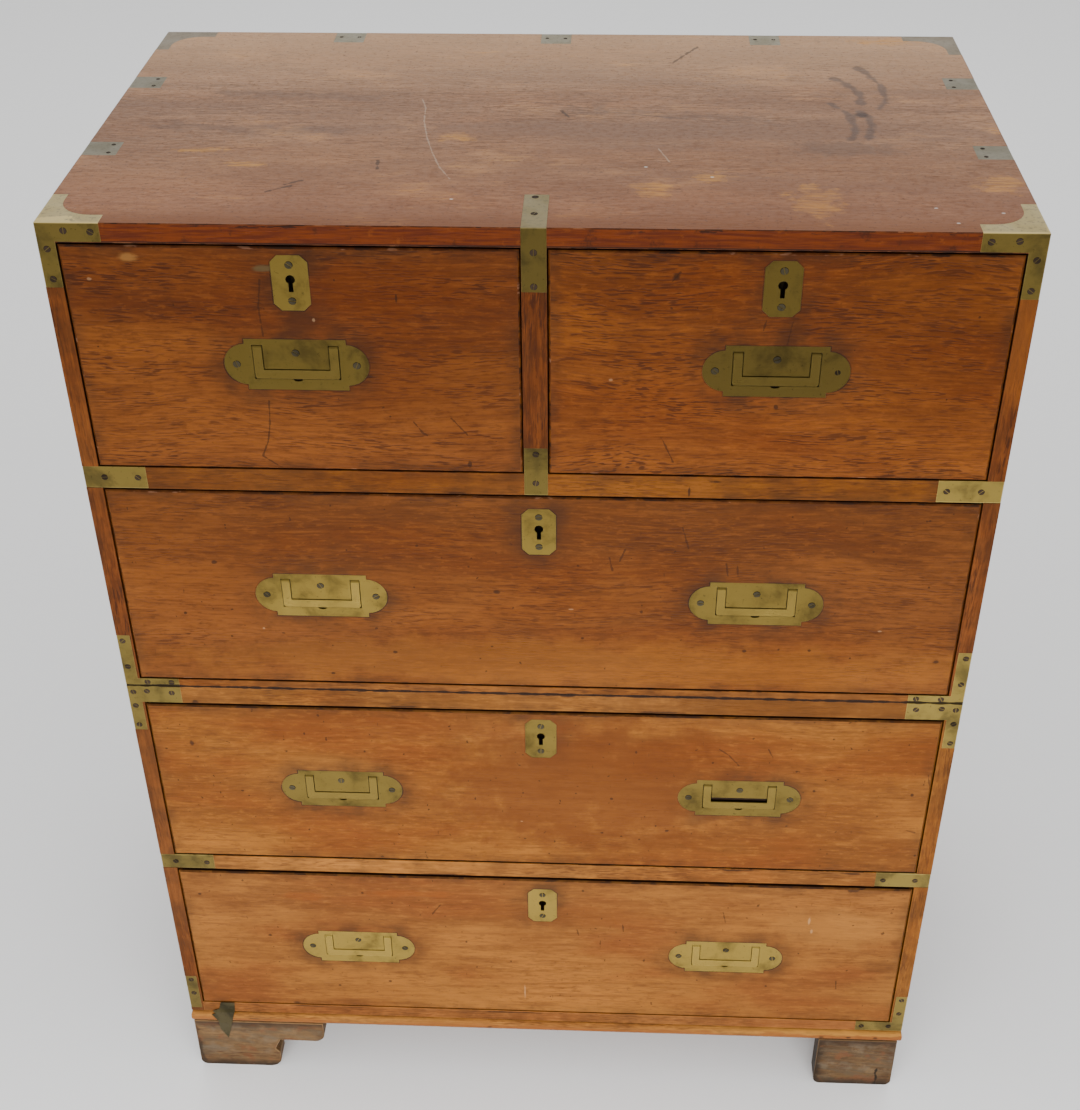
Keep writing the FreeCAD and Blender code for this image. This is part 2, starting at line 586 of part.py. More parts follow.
def upper_straps():
    middle = "divider_offset - centre_strap / 2"
    low = TOP + " - centre_strap_front"
    straps = [join("centre_strap", [
        block("centre_strap_flat", middle, FRONT, TOP + " - brass_thick",
              "centre_strap", "centre_strap_top", "brass_thick"),
        block("centre_strap_drop", middle, FRONT, low, "centre_strap", "brass_thick", "centre_strap_front")])]
    straps.append(block("joint_strap", middle, FRONT, UPPER_RAIL, "centre_strap", "brass_thick",
                        "joint_strap"))
    straps += rail_strap("upper_rail_strap", UPPER_RAIL, "upper_rail")
    side_fold = ("brass_thick", "edge_strap")
    flanks = {"left": (LEFT, LEFT), "right": ("case_width / 2 - brass_thick", "case_width / 2 - edge_strap")}
    for side, (edge, inner) in flanks.items():
        for letter in "ab":
            y = f"{FRONT} + edge_strap_{side}_{letter}"
            straps.append(edge_strap(f"{side}_strap_{letter}", inner, y, side_fold, (edge, y)))
    for name, start in (("back_strap_left", "-edge_strap_back - edge_strap / 2"),
                        ("back_strap_middle", "-edge_strap / 2"),
                        ("back_strap_right", "edge_strap_back - edge_strap / 2")):
        straps.append(edge_strap(name, start, BACK + " - edge_strap", ("edge_strap", "brass_thick"),
                                 (start, BACK + " - brass_thick")))
    return straps


# ---------------------------------------------------------------- base moulding and feet


def moulding_strip(name, corners, outer):
    """A mitred strip whose outer edges are rounded; outer picks them."""
    body = doc.addObject("PartDesign::Body", name + "_body")
    blank = pad(body, name + "_pad", outline(body, name + "_sketch", "XY_Plane", corners), "moulding_height")
    soften(body, name + "_nose", blank, "moulding_round", outer)
    return place(body, z="foot_height")


def base_moulding():
    out = "(case_width / 2 + moulding_proud)"
    inside = f"({out} - moulding_width)"
    front_out = f"({FRONT} - moulding_proud)"
    front_in = f"({front_out} + moulding_width)"
    nose_y = (size("moulding_proud") - size("case_depth")) / 2 - size("moulding_proud")
    nose_x = -size("case_width") / 2 - size("moulding_proud")

    def is_flank_nose(edge):
        """The long edges outside; the middles of the upright ones lie at half the height."""
        middle = middle_of(edge)
        return near(middle.x, nose_x) and not near(middle.z, size("moulding_height") / 2)

    corners = [("-" + out, front_out), (out, front_out), (inside, front_in), ("-" + inside, front_in)]
    front = moulding_strip("moulding_front", corners, lambda edge: near(middle_of(edge).y, nose_y))
    corners = [("-" + out, front_out), ("-" + inside, front_in), ("-" + inside, BACK), ("-" + out, BACK)]
    left = moulding_strip("moulding_left", corners, is_flank_nose)
    back = block("moulding_back", "-" + inside, BACK + " - moulding_width", "foot_height",
                 f"2 * {inside}", "moulding_width", "moulding_height")
    return group("base_moulding", [front, left, mirror("moulding_right", left, X_AXIS), back])


def bracket_board(name, role, start, winged):
    """A foot bracket seen square on: heel, rounded toe and, where it has one, the scrolled wing."""
    body = doc.addObject("PartDesign::Body", name + "_body")
    corners = [(start, "0")]
    if winged:
        corners += [("wing_reach", "0"), ("wing_reach", "-wing_drop"), ("wing_root", "-wing_drop"),
                    ("neck_in", "-neck_low"), ("foot_width", "-toe_top")]
        toe, rounds = size("foot_width"), [("wing_round", size("wing_reach"), size("wing_drop"))]
        corners.append(("foot_width", "-foot_height"))
    else:
        toe, rounds = size("plain_foot_width"), []
        corners += [("plain_foot_width", "0"), ("plain_foot_width", "-foot_height")]
    corners.append((start, "-foot_height"))
    feature = pad(body, name + "_pad", outline(body, name + "_sketch", role, corners), "foot_thick",
                  reverse=role == "XZ_Plane")
    rounds.append(("foot_toe_round" if winged else "foot_heel_round", toe, size("foot_height")))
    if start == "0":
        rounds.append(("foot_heel_round", 0.0, size("foot_height")))
    for number, (radius, along, down) in enumerate(rounds):
        def corner(edge, along=along, down=down):
            middle = middle_of(edge)
            spot = middle.x if role == "XZ_Plane" else middle.y
            return near(spot, along) and near(middle.z, -down) and near(edge.Length, size("foot_thick"))
        feature = soften(body, f"{name}_round_{number}", feature, radius, corner)
    return body


def corner_foot(name, winged_front=True, inset="0"):
    """Left front foot: front bracket, side bracket behind it and the glued corner block."""
    front = bracket_board(name + "_front", "XZ_Plane", "0", winged_front)
    place(front, f"{LEFT} + {inset}", FRONT, "foot_height")
    side = bracket_board(name + "_side", "YZ_Plane", "foot_thick", True)
    place(side, f"{LEFT} + {inset}", FRONT, "foot_height")
    corner = block(name + "_block", f"{LEFT} + {inset} + foot_thick", FRONT + " + foot_thick",
                   "glue_block_lift", "glue_block", "glue_block", "foot_height - glue_block_lift")
    return [front, side, corner]


def rear_foot(name):
    """Left rear foot: side bracket with its wing and a plain back board, made at the front and mirrored."""
    side = bracket_board(name + "_side", "YZ_Plane", "0", True)
    place(side, LEFT, FRONT, "foot_height")
    plain = bracket_board(name + "_plain", "XZ_Plane", "foot_thick", False)
    place(plain, LEFT, FRONT, "foot_height")
    corner = block(name + "_block", LEFT + " + foot_thick", FRONT + " + foot_thick", "glue_block_lift",
                   "glue_block", "glue_block", "foot_height - glue_block_lift")
    made = group(name + "_made", [side, plain, corner])
    left = mirror(name + "_left", made, Y_AXIS, "moulding_proud / 2")
    return [left, mirror(name + "_right", left, X_AXIS)]


# ---------------------------------------------------------------- the chest

LONG = f"(2 * {INSIDE} - 2 * side_gap)"
SHORT_LEFT_END = "(divider_offset - divider_width / 2)"
SHORT_RIGHT_END = "(divider_offset + divider_width / 2)"
drawers = {
    "short_left": drawer("short_left_drawer", "short", FLOOR_SHORT, f"({SHORT_LEFT_END} - {INSIDE}) / 2",
                         f"({INSIDE} + {SHORT_LEFT_END} - 2 * side_gap)", [("", "handle_left")]),
    "short_right": drawer("short_right_drawer", "short", FLOOR_SHORT, f"({SHORT_RIGHT_END} + {INSIDE}) / 2",
                          f"({INSIDE} - {SHORT_RIGHT_END} - 2 * side_gap)", [("", "handle_right")]),
    "upper": drawer("upper_long_drawer", "upper", FLOOR_UPPER, "0", LONG,
                    [("left", "handle_left"), ("right", "handle_right")]),
    "middle": drawer("middle_long_drawer", "middle", FLOOR_MIDDLE, "0", LONG,
                     [("left", "handle_left"), ("right", "handle_right")]),
    "lower": drawer("lowest_long_drawer", "lower", FLOOR_LOWER, "0", LONG,
                    [("left", "handle_left"), ("right", "handle_right")]),
}
nodes = [node for made in drawers.values() for node in made["nodes"]]


def carrying_handles(case, level):
    """The pair on the left and right side of one case."""
    plates, recesses, bails = [], [], []
    for side, x, turn in (("left", LEFT, -90.0), ("right", "case_width / 2", 90.0)):
        at = (x, "moulding_proud / 2", level)
        plate, recess, bail = flush_handle(f"{case}_{side}_carrying", at, at, turn)
        bail.Label = f"{case}_{side}_carrying_bail"
        plates.append(plate)
        recesses.append(recess)
        bails.append(bail)
    return group(f"{case}_carrying_plates", plates), recesses, bails


def case_board(name, tools, *where):
    """A board of a case with everything let into it cut away."""
    return cut(name, block(name + "_blank", *where), tools)


def runners(name, level, height):
    """Runners along both sides, from the rail to the back."""
    start = FRONT + " + rail_depth"
    length = "case_depth - rail_depth - back_thick"
    left = block(name + "_runner_left", "-" + INSIDE, start, level, "runner_width", length, height)
    return [left, mirror(name + "_runner_right", left, X_AXIS)]


def stop(name, x, floor):
    """A small block behind a drawer's front."""
    return block(name, f"{x} - stop_length / 2", f"{FRONT} + front_set_back + front_thick + running_gap",
                 floor, "stop_length", "stop_depth", "stop_height")


def stop_pair(name, floor):
    left = stop(name + "_left", f"-{INSIDE} + stop_inset", floor)
    return [left, mirror(name + "_right", left, X_AXIS)]


# Upper case
top_bracket = corner_bracket("top_bracket", TOP, False, "top_arm_height", "side_thick", "bracket_leg",
                             capped=True)
split_bracket = corner_bracket("split_bracket", SPLIT, True, "upper_bottom", "split_leg_width", "split_leg")
upper_brackets = group("upper_corner_brackets", four_corners("top_bracket", top_bracket)
                       + four_corners("split_bracket", split_bracket))
upper_strap_node = group("upper_straps", upper_straps())
upper_plates, upper_recesses, upper_bails = carrying_handles("upper", SPLIT + " + carry_rise_upper")
PEG_X = "(case_width / 2 - peg_inset)"
peg_spots = [(x, y) for x in ("-" + PEG_X, PEG_X) for y in (FRONT + " + peg_inset", BACK + " - peg_inset")]
PEG_HOLE = f"(peg_radius + peg_gap) / cos(180deg / {PEG_SIDES})"
peg_holes = [facetted(f"peg_hole_{number}", x, y, SPLIT, PEG_HOLE, "upper_bottom", PEG_SIDES)
             for number, (x, y) in enumerate(peg_spots)]
upper_cuts = group("upper_cuts", [upper_brackets, upper_strap_node] + upper_recesses + peg_holes
                   + [drawers[key]["mortise"] for key in ("short_left", "short_right", "upper")])
upper_height = "upper_bottom + opening_upper + upper_rail + opening_short"
upper_left = case_board("upper_left_side", upper_cuts, LEFT, FRONT, SPLIT, "side_thick", "case_depth",
                        upper_height)
upper_right = case_board("upper_right_side", upper_cuts, INSIDE, FRONT, SPLIT, "side_thick", "case_depth",
                         upper_height)
upper_top = case_board("upper_top_board", upper_cuts, LEFT, FRONT, UPPER_TOP, "case_width", "case_depth",
                       "top_board")
upper_floor = case_board("upper_bottom_board", upper_cuts, "-" + INSIDE, FRONT, SPLIT, "2 * " + INSIDE,
                         "case_depth", "upper_bottom")
upper_back = case_board("upper_back_board", upper_cuts, "-" + INSIDE, BACK + " - back_thick", FLOOR_UPPER,
                        "2 * " + INSIDE, "back_thick", "opening_upper + upper_rail + opening_short")
upper_rail = case_board("upper_drawer_rail", upper_cuts, "-" + INSIDE, FRONT, UPPER_RAIL, "2 * " + INSIDE,
                        "rail_depth", "upper_rail")
divider = case_board("drawer_divider", upper_cuts, SHORT_LEFT_END, FRONT, FLOOR_SHORT, "divider_width",
                     "rail_depth", "opening_short")
centre_start = FRONT + " + rail_depth"
centre_length = "case_depth - rail_depth - back_thick"
upper_runners = group("upper_runners", runners("upper", UPPER_RAIL, "upper_rail") + [
    block("centre_runner", "divider_offset - centre_runner / 2", centre_start, UPPER_RAIL,
          "centre_runner", centre_length, "upper_rail"),
    block("centre_guide", SHORT_LEFT_END, centre_start, FLOOR_SHORT, "divider_width", centre_length,
          "guide_height"),
    stop("short_left_stop", f"({SHORT_LEFT_END} - {INSIDE}) / 2", FLOOR_SHORT),
    stop("short_right_stop", f"({SHORT_RIGHT_END} + {INSIDE}) / 2", FLOOR_SHORT),
] + stop_pair("upper_stop", FLOOR_UPPER))
nodes += [upper_left, upper_right, upper_top, upper_floor, upper_back, upper_rail, divider, upper_runners,
          upper_brackets, upper_strap_node, upper_plates] + upper_bails

# Lower case
base_bracket = corner_bracket("base_bracket", BASE, True, "lower_bottom", "split_leg_width", "base_leg")
base_right = mirror("base_bracket_right", base_bracket, X_AXIS)
torn_bracket = join("torn_bracket", [
    block("torn_bracket_face", LEFT, FRONT, BASE + " + base_leg_lost", "split_leg_width", "brass_thick",
          "base_leg - base_leg_lost"),
    block("torn_bracket_flank", LEFT, FRONT, BASE + " + base_leg_lost", "brass_thick", "split_leg_width",
          "base_leg - base_leg_lost")])
base_backs = [mirror(f"base_bracket_back_{side}", piece, Y_AXIS, "moulding_proud / 2")
              for side, piece in (("left", base_bracket), ("right", base_right))]
shoulder_bracket = corner_bracket("shoulder_bracket", SPLIT, False, "lower_top", "split_leg_width",
                                  "bracket_leg")
lower_brackets = group("lower_corner_brackets", four_corners("shoulder_bracket", shoulder_bracket)
                       + [torn_bracket, base_right] + base_backs)
lower_straps = group("lower_straps", rail_strap("lower_rail_strap", LOWER_RAIL, "lower_rail"))
lower_plates, lower_recesses, lower_bails = carrying_handles("lower", BASE + " + carry_rise_lower")
pegs = [facetted(f"peg_{number}", x, y, SPLIT + " - peg_sunk", "peg_radius", "peg_sunk + peg_stand",
                 PEG_SIDES)
        for number, (x, y) in enumerate(peg_spots)]
locating_pegs = group("locating_pegs", pegs)
lower_cuts = group("lower_cuts", [lower_brackets, lower_straps, locating_pegs] + lower_recesses
                   + [drawers[key]["mortise"] for key in ("middle", "lower")])
lower_height = "lower_bottom + opening_lower + lower_rail + opening_middle"
lower_left = case_board("lower_left_side", lower_cuts, LEFT, FRONT, BASE, "side_thick", "case_depth",
                        lower_height)
lower_right = case_board("lower_right_side", lower_cuts, INSIDE, FRONT, BASE, "side_thick", "case_depth",
                         lower_height)
lower_top_board = case_board("lower_top_board", lower_cuts, LEFT, FRONT, LOWER_TOP, "case_width",
                             "case_depth", "lower_top")
lower_floor = case_board("lower_bottom_board", lower_cuts, "-" + INSIDE, FRONT, BASE, "2 * " + INSIDE,
                         "case_depth", "lower_bottom")
lower_back = case_board("lower_back_board", lower_cuts, "-" + INSIDE, BACK + " - back_thick", FLOOR_LOWER,
                        "2 * " + INSIDE, "back_thick", "opening_lower + lower_rail + opening_middle")
lower_rail = case_board("lower_drawer_rail", lower_cuts, "-" + INSIDE, FRONT, LOWER_RAIL, "2 * " + INSIDE,
                        "rail_depth", "lower_rail")
lower_runners = group("lower_runners", runners("lower", LOWER_RAIL, "lower_rail")
                      + stop_pair("middle_stop", FLOOR_MIDDLE) + stop_pair("lowest_stop", FLOOR_LOWER))
nodes += [lower_left, lower_right, lower_top_board, lower_floor, lower_back, lower_rail, lower_runners,
          lower_brackets, lower_straps, lower_plates, locating_pegs, base_moulding()] + lower_bails

# Feet
left_foot = group("front_left_foot", corner_foot("left_foot"))
right_made = group("right_foot_made", corner_foot("right_foot", winged_front=False, inset="plain_foot_inset"))
right_foot = mirror("front_right_foot", right_made, X_AXIS)
rear_feet = group("rear_feet", rear_foot("rear_foot"))
nodes += [left_foot, right_foot, rear_feet]

doc.recompute()

# ---------------------------------------------------------------- checks and export

for piece in doc.Objects:
    if "Invalid" in piece.State or "Error" in piece.State:
        raise RuntimeError(f"{piece.Name} failed: {piece.State}")
for node in nodes:
    if node.Shape.isNull() or not node.Shape.isValid():
        raise RuntimeError(f"{node.Label} has no valid shape")

os.makedirs("parts", exist_ok=True)
for node in nodes:
    node.Shape.exportStep(f"parts/{node.Label}.step")
print(f"{len(nodes)} nodes, {sum(len(node.Shape.Solids) for node in nodes)} solids")
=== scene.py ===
# %% [markdown]
# # A campaign chest and its finish
# The chest is two cases of drawers that lift apart for travel. Its boards, drawers and brass already exist as
# a frame of rigid bodies. This lesson gives each of them the surface that a century and a half of use leaves:
# waxed wood with dark pores, eased arrises, aged brass, worn screws. Lengths are metres; the front faces -Y.

# %% The frame
import json
import math

import bmesh
import bpy
from mathutils import Matrix, Vector, noise

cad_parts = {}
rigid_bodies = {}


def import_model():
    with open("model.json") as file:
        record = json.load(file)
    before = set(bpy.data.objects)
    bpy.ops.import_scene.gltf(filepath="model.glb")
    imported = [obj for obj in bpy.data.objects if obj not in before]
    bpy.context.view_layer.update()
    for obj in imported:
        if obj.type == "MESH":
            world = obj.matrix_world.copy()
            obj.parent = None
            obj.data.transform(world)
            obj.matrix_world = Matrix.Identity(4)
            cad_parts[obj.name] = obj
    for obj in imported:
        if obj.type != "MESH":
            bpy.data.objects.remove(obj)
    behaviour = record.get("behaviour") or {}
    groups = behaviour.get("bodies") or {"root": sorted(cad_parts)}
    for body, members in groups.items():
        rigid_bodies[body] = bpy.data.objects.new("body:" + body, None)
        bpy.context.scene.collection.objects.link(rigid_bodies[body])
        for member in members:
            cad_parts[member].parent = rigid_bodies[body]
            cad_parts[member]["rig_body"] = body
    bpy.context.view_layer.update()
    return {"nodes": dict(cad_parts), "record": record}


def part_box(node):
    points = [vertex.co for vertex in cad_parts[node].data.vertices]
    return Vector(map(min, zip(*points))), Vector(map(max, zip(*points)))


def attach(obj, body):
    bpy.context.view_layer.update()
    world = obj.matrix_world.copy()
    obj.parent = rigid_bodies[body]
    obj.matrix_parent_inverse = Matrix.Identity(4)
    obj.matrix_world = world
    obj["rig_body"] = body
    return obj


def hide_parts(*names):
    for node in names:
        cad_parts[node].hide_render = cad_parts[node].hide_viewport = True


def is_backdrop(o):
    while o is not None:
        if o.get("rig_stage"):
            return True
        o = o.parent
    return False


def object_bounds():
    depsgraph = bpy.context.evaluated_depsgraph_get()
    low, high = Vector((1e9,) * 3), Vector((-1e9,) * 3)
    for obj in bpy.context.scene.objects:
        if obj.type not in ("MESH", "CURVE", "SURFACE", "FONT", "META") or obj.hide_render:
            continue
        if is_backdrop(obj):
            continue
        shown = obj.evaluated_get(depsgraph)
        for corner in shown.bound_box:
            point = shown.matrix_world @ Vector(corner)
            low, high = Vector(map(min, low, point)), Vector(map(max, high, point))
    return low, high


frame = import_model()
nodes = frame["nodes"]

# %% [markdown]
# ## Camera, light and floor
# The camera comes first, because every later choice is judged through it. It stands a little right of the
# middle, above the chest, and looks down by 36 degrees, so the top and the front show together.

# %% Camera
CAMERA_PLACE = Vector((0.0581, -1.4014, 1.5660))
CAMERA_YAW = math.radians(-2.80)
CAMERA_PITCH = math.radians(35.57)
CAMERA_ROLL = math.radians(-0.54)
LENS = 52.98

ahead = Vector((math.sin(CAMERA_YAW) * math.cos(CAMERA_PITCH), math.cos(CAMERA_YAW) * math.cos(CAMERA_PITCH),
                -math.sin(CAMERA_PITCH)))
level_right = Vector((math.cos(CAMERA_YAW), -math.sin(CAMERA_YAW), 0))
level_up = level_right.cross(ahead)
right = level_right * math.cos(CAMERA_ROLL) + level_up * math.sin(CAMERA_ROLL)
up = level_up * math.cos(CAMERA_ROLL) - level_right * math.sin(CAMERA_ROLL)
camera_data = bpy.data.cameras.new("camera")
camera_data.lens = LENS
camera_data.sensor_width = 36
camera_data.sensor_fit = "AUTO"
camera = bpy.data.objects.new("camera", camera_data)
camera.matrix_world = Matrix((right, up, -ahead)).transposed().to_4x4()
camera.matrix_world.translation = CAMERA_PLACE
bpy.context.scene.collection.objects.link(camera)
bpy.context.scene.camera = camera
print("camera:", LENS, "mm at", tuple(round(part, 4) for part in CAMERA_PLACE))

# %% [markdown]
# A helper keeps every material short: a recipe is a node tree whose steps each give back the socket with
# their result, so that steps can be written one after the other, like a finisher's notes.

# %% Recipes for materials
def toned(colour, by):
    """The colour made lighter or darker."""
    return tuple(by * part for part in colour)


class Recipe:
    """The node tree of one material. Each step returns its result's socket."""

    def __init__(self, name):
        self.material = bpy.data.materials.new(name)
        self.material.use_nodes = True
        self.tree = self.material.node_tree
        self.shader = self.tree.nodes["Principled BSDF"]
        self.place = self.step("ShaderNodeTexCoord").outputs["Object"]

    def step(self, kind, **inputs):
        made = self.tree.nodes.new(kind)
        for name, value in inputs.items():
            self.feed(made.inputs[name.replace("_", " ")], value)
        return made

    def feed(self, socket, value):
        if isinstance(value, bpy.types.NodeSocket):
            self.tree.links.new(value, socket)
        else:
            socket.default_value = value

    def maths(self, operation, *values):
        made = self.tree.nodes.new("ShaderNodeMath")
        made.operation = operation
        for socket, value in zip(made.inputs, values):
            self.feed(socket, value)
        return made.outputs["Value"]

    def times(self, first, second):
        return self.maths("MULTIPLY", first, second)

    def axes(self, where=None):
        """The X, Y and Z of a place, or of the surface point itself."""
        return self.step("ShaderNodeSeparateXYZ", Vector=self.place if where is None else where).outputs

    def vector(self, operation, *values):
        made = self.tree.nodes.new("ShaderNodeVectorMath")
        made.operation = operation
        for socket, value in zip(made.inputs, values):
            self.feed(socket, value)
        return made.outputs["Value" if operation in ("LENGTH", "DOT_PRODUCT", "DISTANCE") else "Vector"]

    def noise(self, where, scale=1.0, detail=2.0, roughness=0.5, distortion=0.0):
        made = self.step("ShaderNodeTexNoise", Vector=where, Scale=scale, Detail=detail, Roughness=roughness,
                         Distortion=distortion)
        return made.outputs["Fac"]

    def scatter(self, where, scale=1.0, detail=2.0):
        """Three noises at once, as a vector around nought."""
        made = self.step("ShaderNodeTexNoise", Vector=where, Scale=scale, Detail=detail)
        return self.vector("SUBTRACT", made.outputs["Color"], (0.5, 0.5, 0.5))

    def ramp(self, value, start, end, low=0.0, high=1.0):
        """Low up to start, high from end on, smooth in between; start may lie above end."""
        made = self.tree.nodes.new("ShaderNodeMapRange")
        made.interpolation_type = "SMOOTHSTEP"
        for name, given in (("Value", value), ("From Min", start), ("From Max", end), ("To Min", low),
                            ("To Max", high)):
            self.feed(made.inputs[name], given)
        return made.outputs["Result"]

    def mix(self, share, first, second, blend="MIX"):
        made = self.tree.nodes.new("ShaderNodeMix")
        made.data_type = "RGBA"
        made.blend_type = blend
        colours = [socket for socket in made.inputs if socket.type == "RGBA"]
        self.feed(made.inputs[0], share)
        for socket, value in zip(colours, (first, second)):
            self.feed(socket, (*value, 1.0) if isinstance(value, tuple) else value)
        return next(socket for socket in made.outputs if socket.type == "RGBA")

    def glaze(self, colour, pattern, start, end, strength, tint):
        """A tint over the colour: none where the pattern is at start, its full strength from end on."""
        return self.mix(self.ramp(pattern, start, end, high=strength), colour, tint)

    def tinted(self, colour, light):
        """The colour as it looks in a coloured, dimmer or brighter light."""
        return self.mix(1.0, colour, light, blend="MULTIPLY")

    def bump(self, height, depth):
        return self.step("ShaderNodeBump", Height=height, Distance=depth).outputs["Normal"]

    def surface(self, **inputs):
        for name, value in inputs.items():
            value = (*value, 1.0) if isinstance(value, tuple) else value
            self.feed(self.shader.inputs[name.replace("_", " ")], value)
        return self.material


# %% [markdown]
# The floor is a plain pale sheet, and the light is that of a white room. A white surround gives most of it.
# One large soft lamp hangs high behind the chest, like a window, and brightens the top. A small one low in
# front stands for the light that the floor throws back at the lowest drawer and the feet.

# %% Floor and lights
def pale_floor():
    recipe = Recipe("pale_floor")
    speckle = recipe.noise(recipe.place, scale=40.0, detail=3.0)
    tone = recipe.mix(speckle, (0.86, 0.86, 0.86), (0.88, 0.88, 0.875))
    return recipe.surface(Base_Color=tone, Roughness=0.9)


def lamp(name, place, target, width, height, power):
    """A rectangular soft lamp that neither the camera nor a polished face sees directly."""
    data = bpy.data.lights.new(name, "AREA")
    data.shape = "RECTANGLE"
    data.size = width
    data.size_y = height
    data.energy = power
    item = bpy.data.objects.new(name, data)
    item.location = place
    item.rotation_euler = (Vector(target) - Vector(place)).to_track_quat("-Z", "Y").to_euler()
    item.visible_camera = False
    item.visible_glossy = False
    bpy.context.scene.collection.objects.link(item)


FLOOR_HALF = 12.0
floor_mesh = bpy.data.meshes.new("floor")
floor_mesh.from_pydata([(-FLOOR_HALF, -FLOOR_HALF, 0), (FLOOR_HALF, -FLOOR_HALF, 0),
                        (FLOOR_HALF, FLOOR_HALF, 0), (-FLOOR_HALF, FLOOR_HALF, 0)], [], [(0, 1, 2, 3)])
floor = bpy.data.objects.new("floor", floor_mesh)
floor_mesh.materials.append(pale_floor())
bpy.context.scene.collection.objects.link(floor)
floor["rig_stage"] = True

# The surround, then the lamps: name, place, what they point at, width and height (metres), power (watts).
world = bpy.data.worlds.new("white_room")
bpy.context.scene.world = world
world.use_nodes = True
world.node_tree.nodes["Background"].inputs["Color"].default_value = (1, 1, 1, 1)
world.node_tree.nodes["Background"].inputs["Strength"].default_value = 1.0
lamp("window", (0.0, 2.6, 3.4), (0, 0, 0.9), 4.0, 2.5, 55)
lamp("floor_glow", (0.0, -1.15, 0.36), (0, -0.25, 0.0), 1.5, 0.5, 22)

# %% [markdown]
# ## Wood
# Old waxed hardwood has patterns of many sizes: broad bands of colour that follow the board, a mottled
# ripple, soft streaks, fine fibre, flecks, and short dark pores. All of them are stretched along the grain.
# Over that lie the marks of use: dirt beside the arrises and round the brass, wax worn off the edges, dents.
# Procedural noise on the object's own coordinates does all of it without a picture, and it follows the real
# size of the board.

# %% Helpers that measure where a surface point lies
SEED_SHIFT = (3.17, 1.73, 2.31)
GRAIN_TURN = {"X": (0.0, 0.0, 0.0), "Y": (0.0, 0.0, math.radians(90)), "Z": (0.0, math.radians(90), 0.0)}


def along_grain(recipe, grain, seed):
    """Coordinates whose X runs with the grain; the seed takes each board from another part of the tree."""
    made = recipe.step("ShaderNodeMapping", Vector=recipe.place, Rotation=GRAIN_TURN[grain])
    shift = tuple(seed * part for part in SEED_SHIFT)
    return recipe.vector("ADD", made.outputs["Vector"], shift)


def stretched(recipe, where, along, across):
    return recipe.vector("MULTIPLY", where, (along, across, across))


def arris_distance(recipe, box):
    """Distance to the nearest arris of a squared board: the second smallest distance to its faces."""
    low, high = box
    middle = (low + high) / 2
    half = (high - low) / 2
    offset = recipe.vector("ABSOLUTE", recipe.vector("SUBTRACT", recipe.place, tuple(middle)))
    inside = recipe.vector("SUBTRACT", tuple(half), offset)
    parts = recipe.axes(inside)
    total = recipe.maths("ADD", recipe.maths("ADD", parts["X"], parts["Y"]), parts["Z"])
    largest = recipe.maths("MAXIMUM", recipe.maths("MAXIMUM", parts["X"], parts["Y"]), parts["Z"])
    return recipe.maths("SUBTRACT", total, largest)


# The handles' plates: half the size of the square middle, then where the round ends have their middle and
# their radius. The keyhole plates: half the size, and how much of each corner is clipped.
PLATE_HALF = Vector((0.0419, 0.01, 0.0234))
PLATE_ENDS = (0.041, 0.019)
SCUTCHEON_HALF = Vector((0.015, 0.01, 0.0242))
SCUTCHEON_CLIP = 0.006
DIAGONAL = math.sqrt(0.5)


def from_plate_middle(recipe, centre):
    """How far a surface point lies from a plate's middle, along each axis."""
    return recipe.vector("ABSOLUTE", recipe.vector("SUBTRACT", recipe.place, tuple(centre)))


def outside_of(recipe, offset, half):
    """Distance from a rectangle, from the offset to its middle and its half sizes."""
    outside = recipe.vector("MAXIMUM", recipe.vector("SUBTRACT", offset, tuple(half)), (0.0, 0.0, 0.0))
    return recipe.vector("LENGTH", outside)


def from_handle_plate(recipe, centre):
    """Distance from a handle's plate: a rectangle with a round end on each side."""
    offset = from_plate_middle(recipe, centre)
    reach, radius = PLATE_ENDS
    from_end = recipe.vector("MULTIPLY", recipe.vector("SUBTRACT", offset, (reach, 0.0, 0.0)),
                             (1.0, 0.0, 1.0))
    round_end = recipe.maths("SUBTRACT", recipe.vector("LENGTH", from_end), radius)
    return recipe.maths("MINIMUM", outside_of(recipe, offset, PLATE_HALF),
                        recipe.maths("MAXIMUM", round_end, 0.0))


def from_keyhole_plate(recipe, centre):
    """Distance from a keyhole plate, whose corners are clipped."""
    offset = from_plate_middle(recipe, centre)
    reach = (SCUTCHEON_HALF.x + SCUTCHEON_HALF.z - SCUTCHEON_CLIP) * DIAGONAL
    clipped = recipe.maths("SUBTRACT", recipe.vector("DOT_PRODUCT", offset, (DIAGONAL, 0.0, DIAGONAL)), reach)
    return recipe.maths("MAXIMUM", outside_of(recipe, offset, SCUTCHEON_HALF), clipped)


def line_distance(recipe, where, start, end):
    """Distance from a straight line between two points."""
    start, end = Vector(start), Vector(end)
    run = end - start
    offset = recipe.vector("SUBTRACT", where, tuple(start))
    along = recipe.vector("DOT_PRODUCT", offset, tuple(run / run.length_squared))
    share = recipe.maths("MINIMUM", recipe.maths("MAXIMUM", along, 0.0), 1.0)
    foot = recipe.step("ShaderNodeVectorMath", Vector=tuple(run))
    foot.operation = "SCALE"
    recipe.feed(foot.inputs["Scale"], share)
    return recipe.vector("LENGTH", recipe.vector("SUBTRACT", offset, foot.outputs["Vector"]))


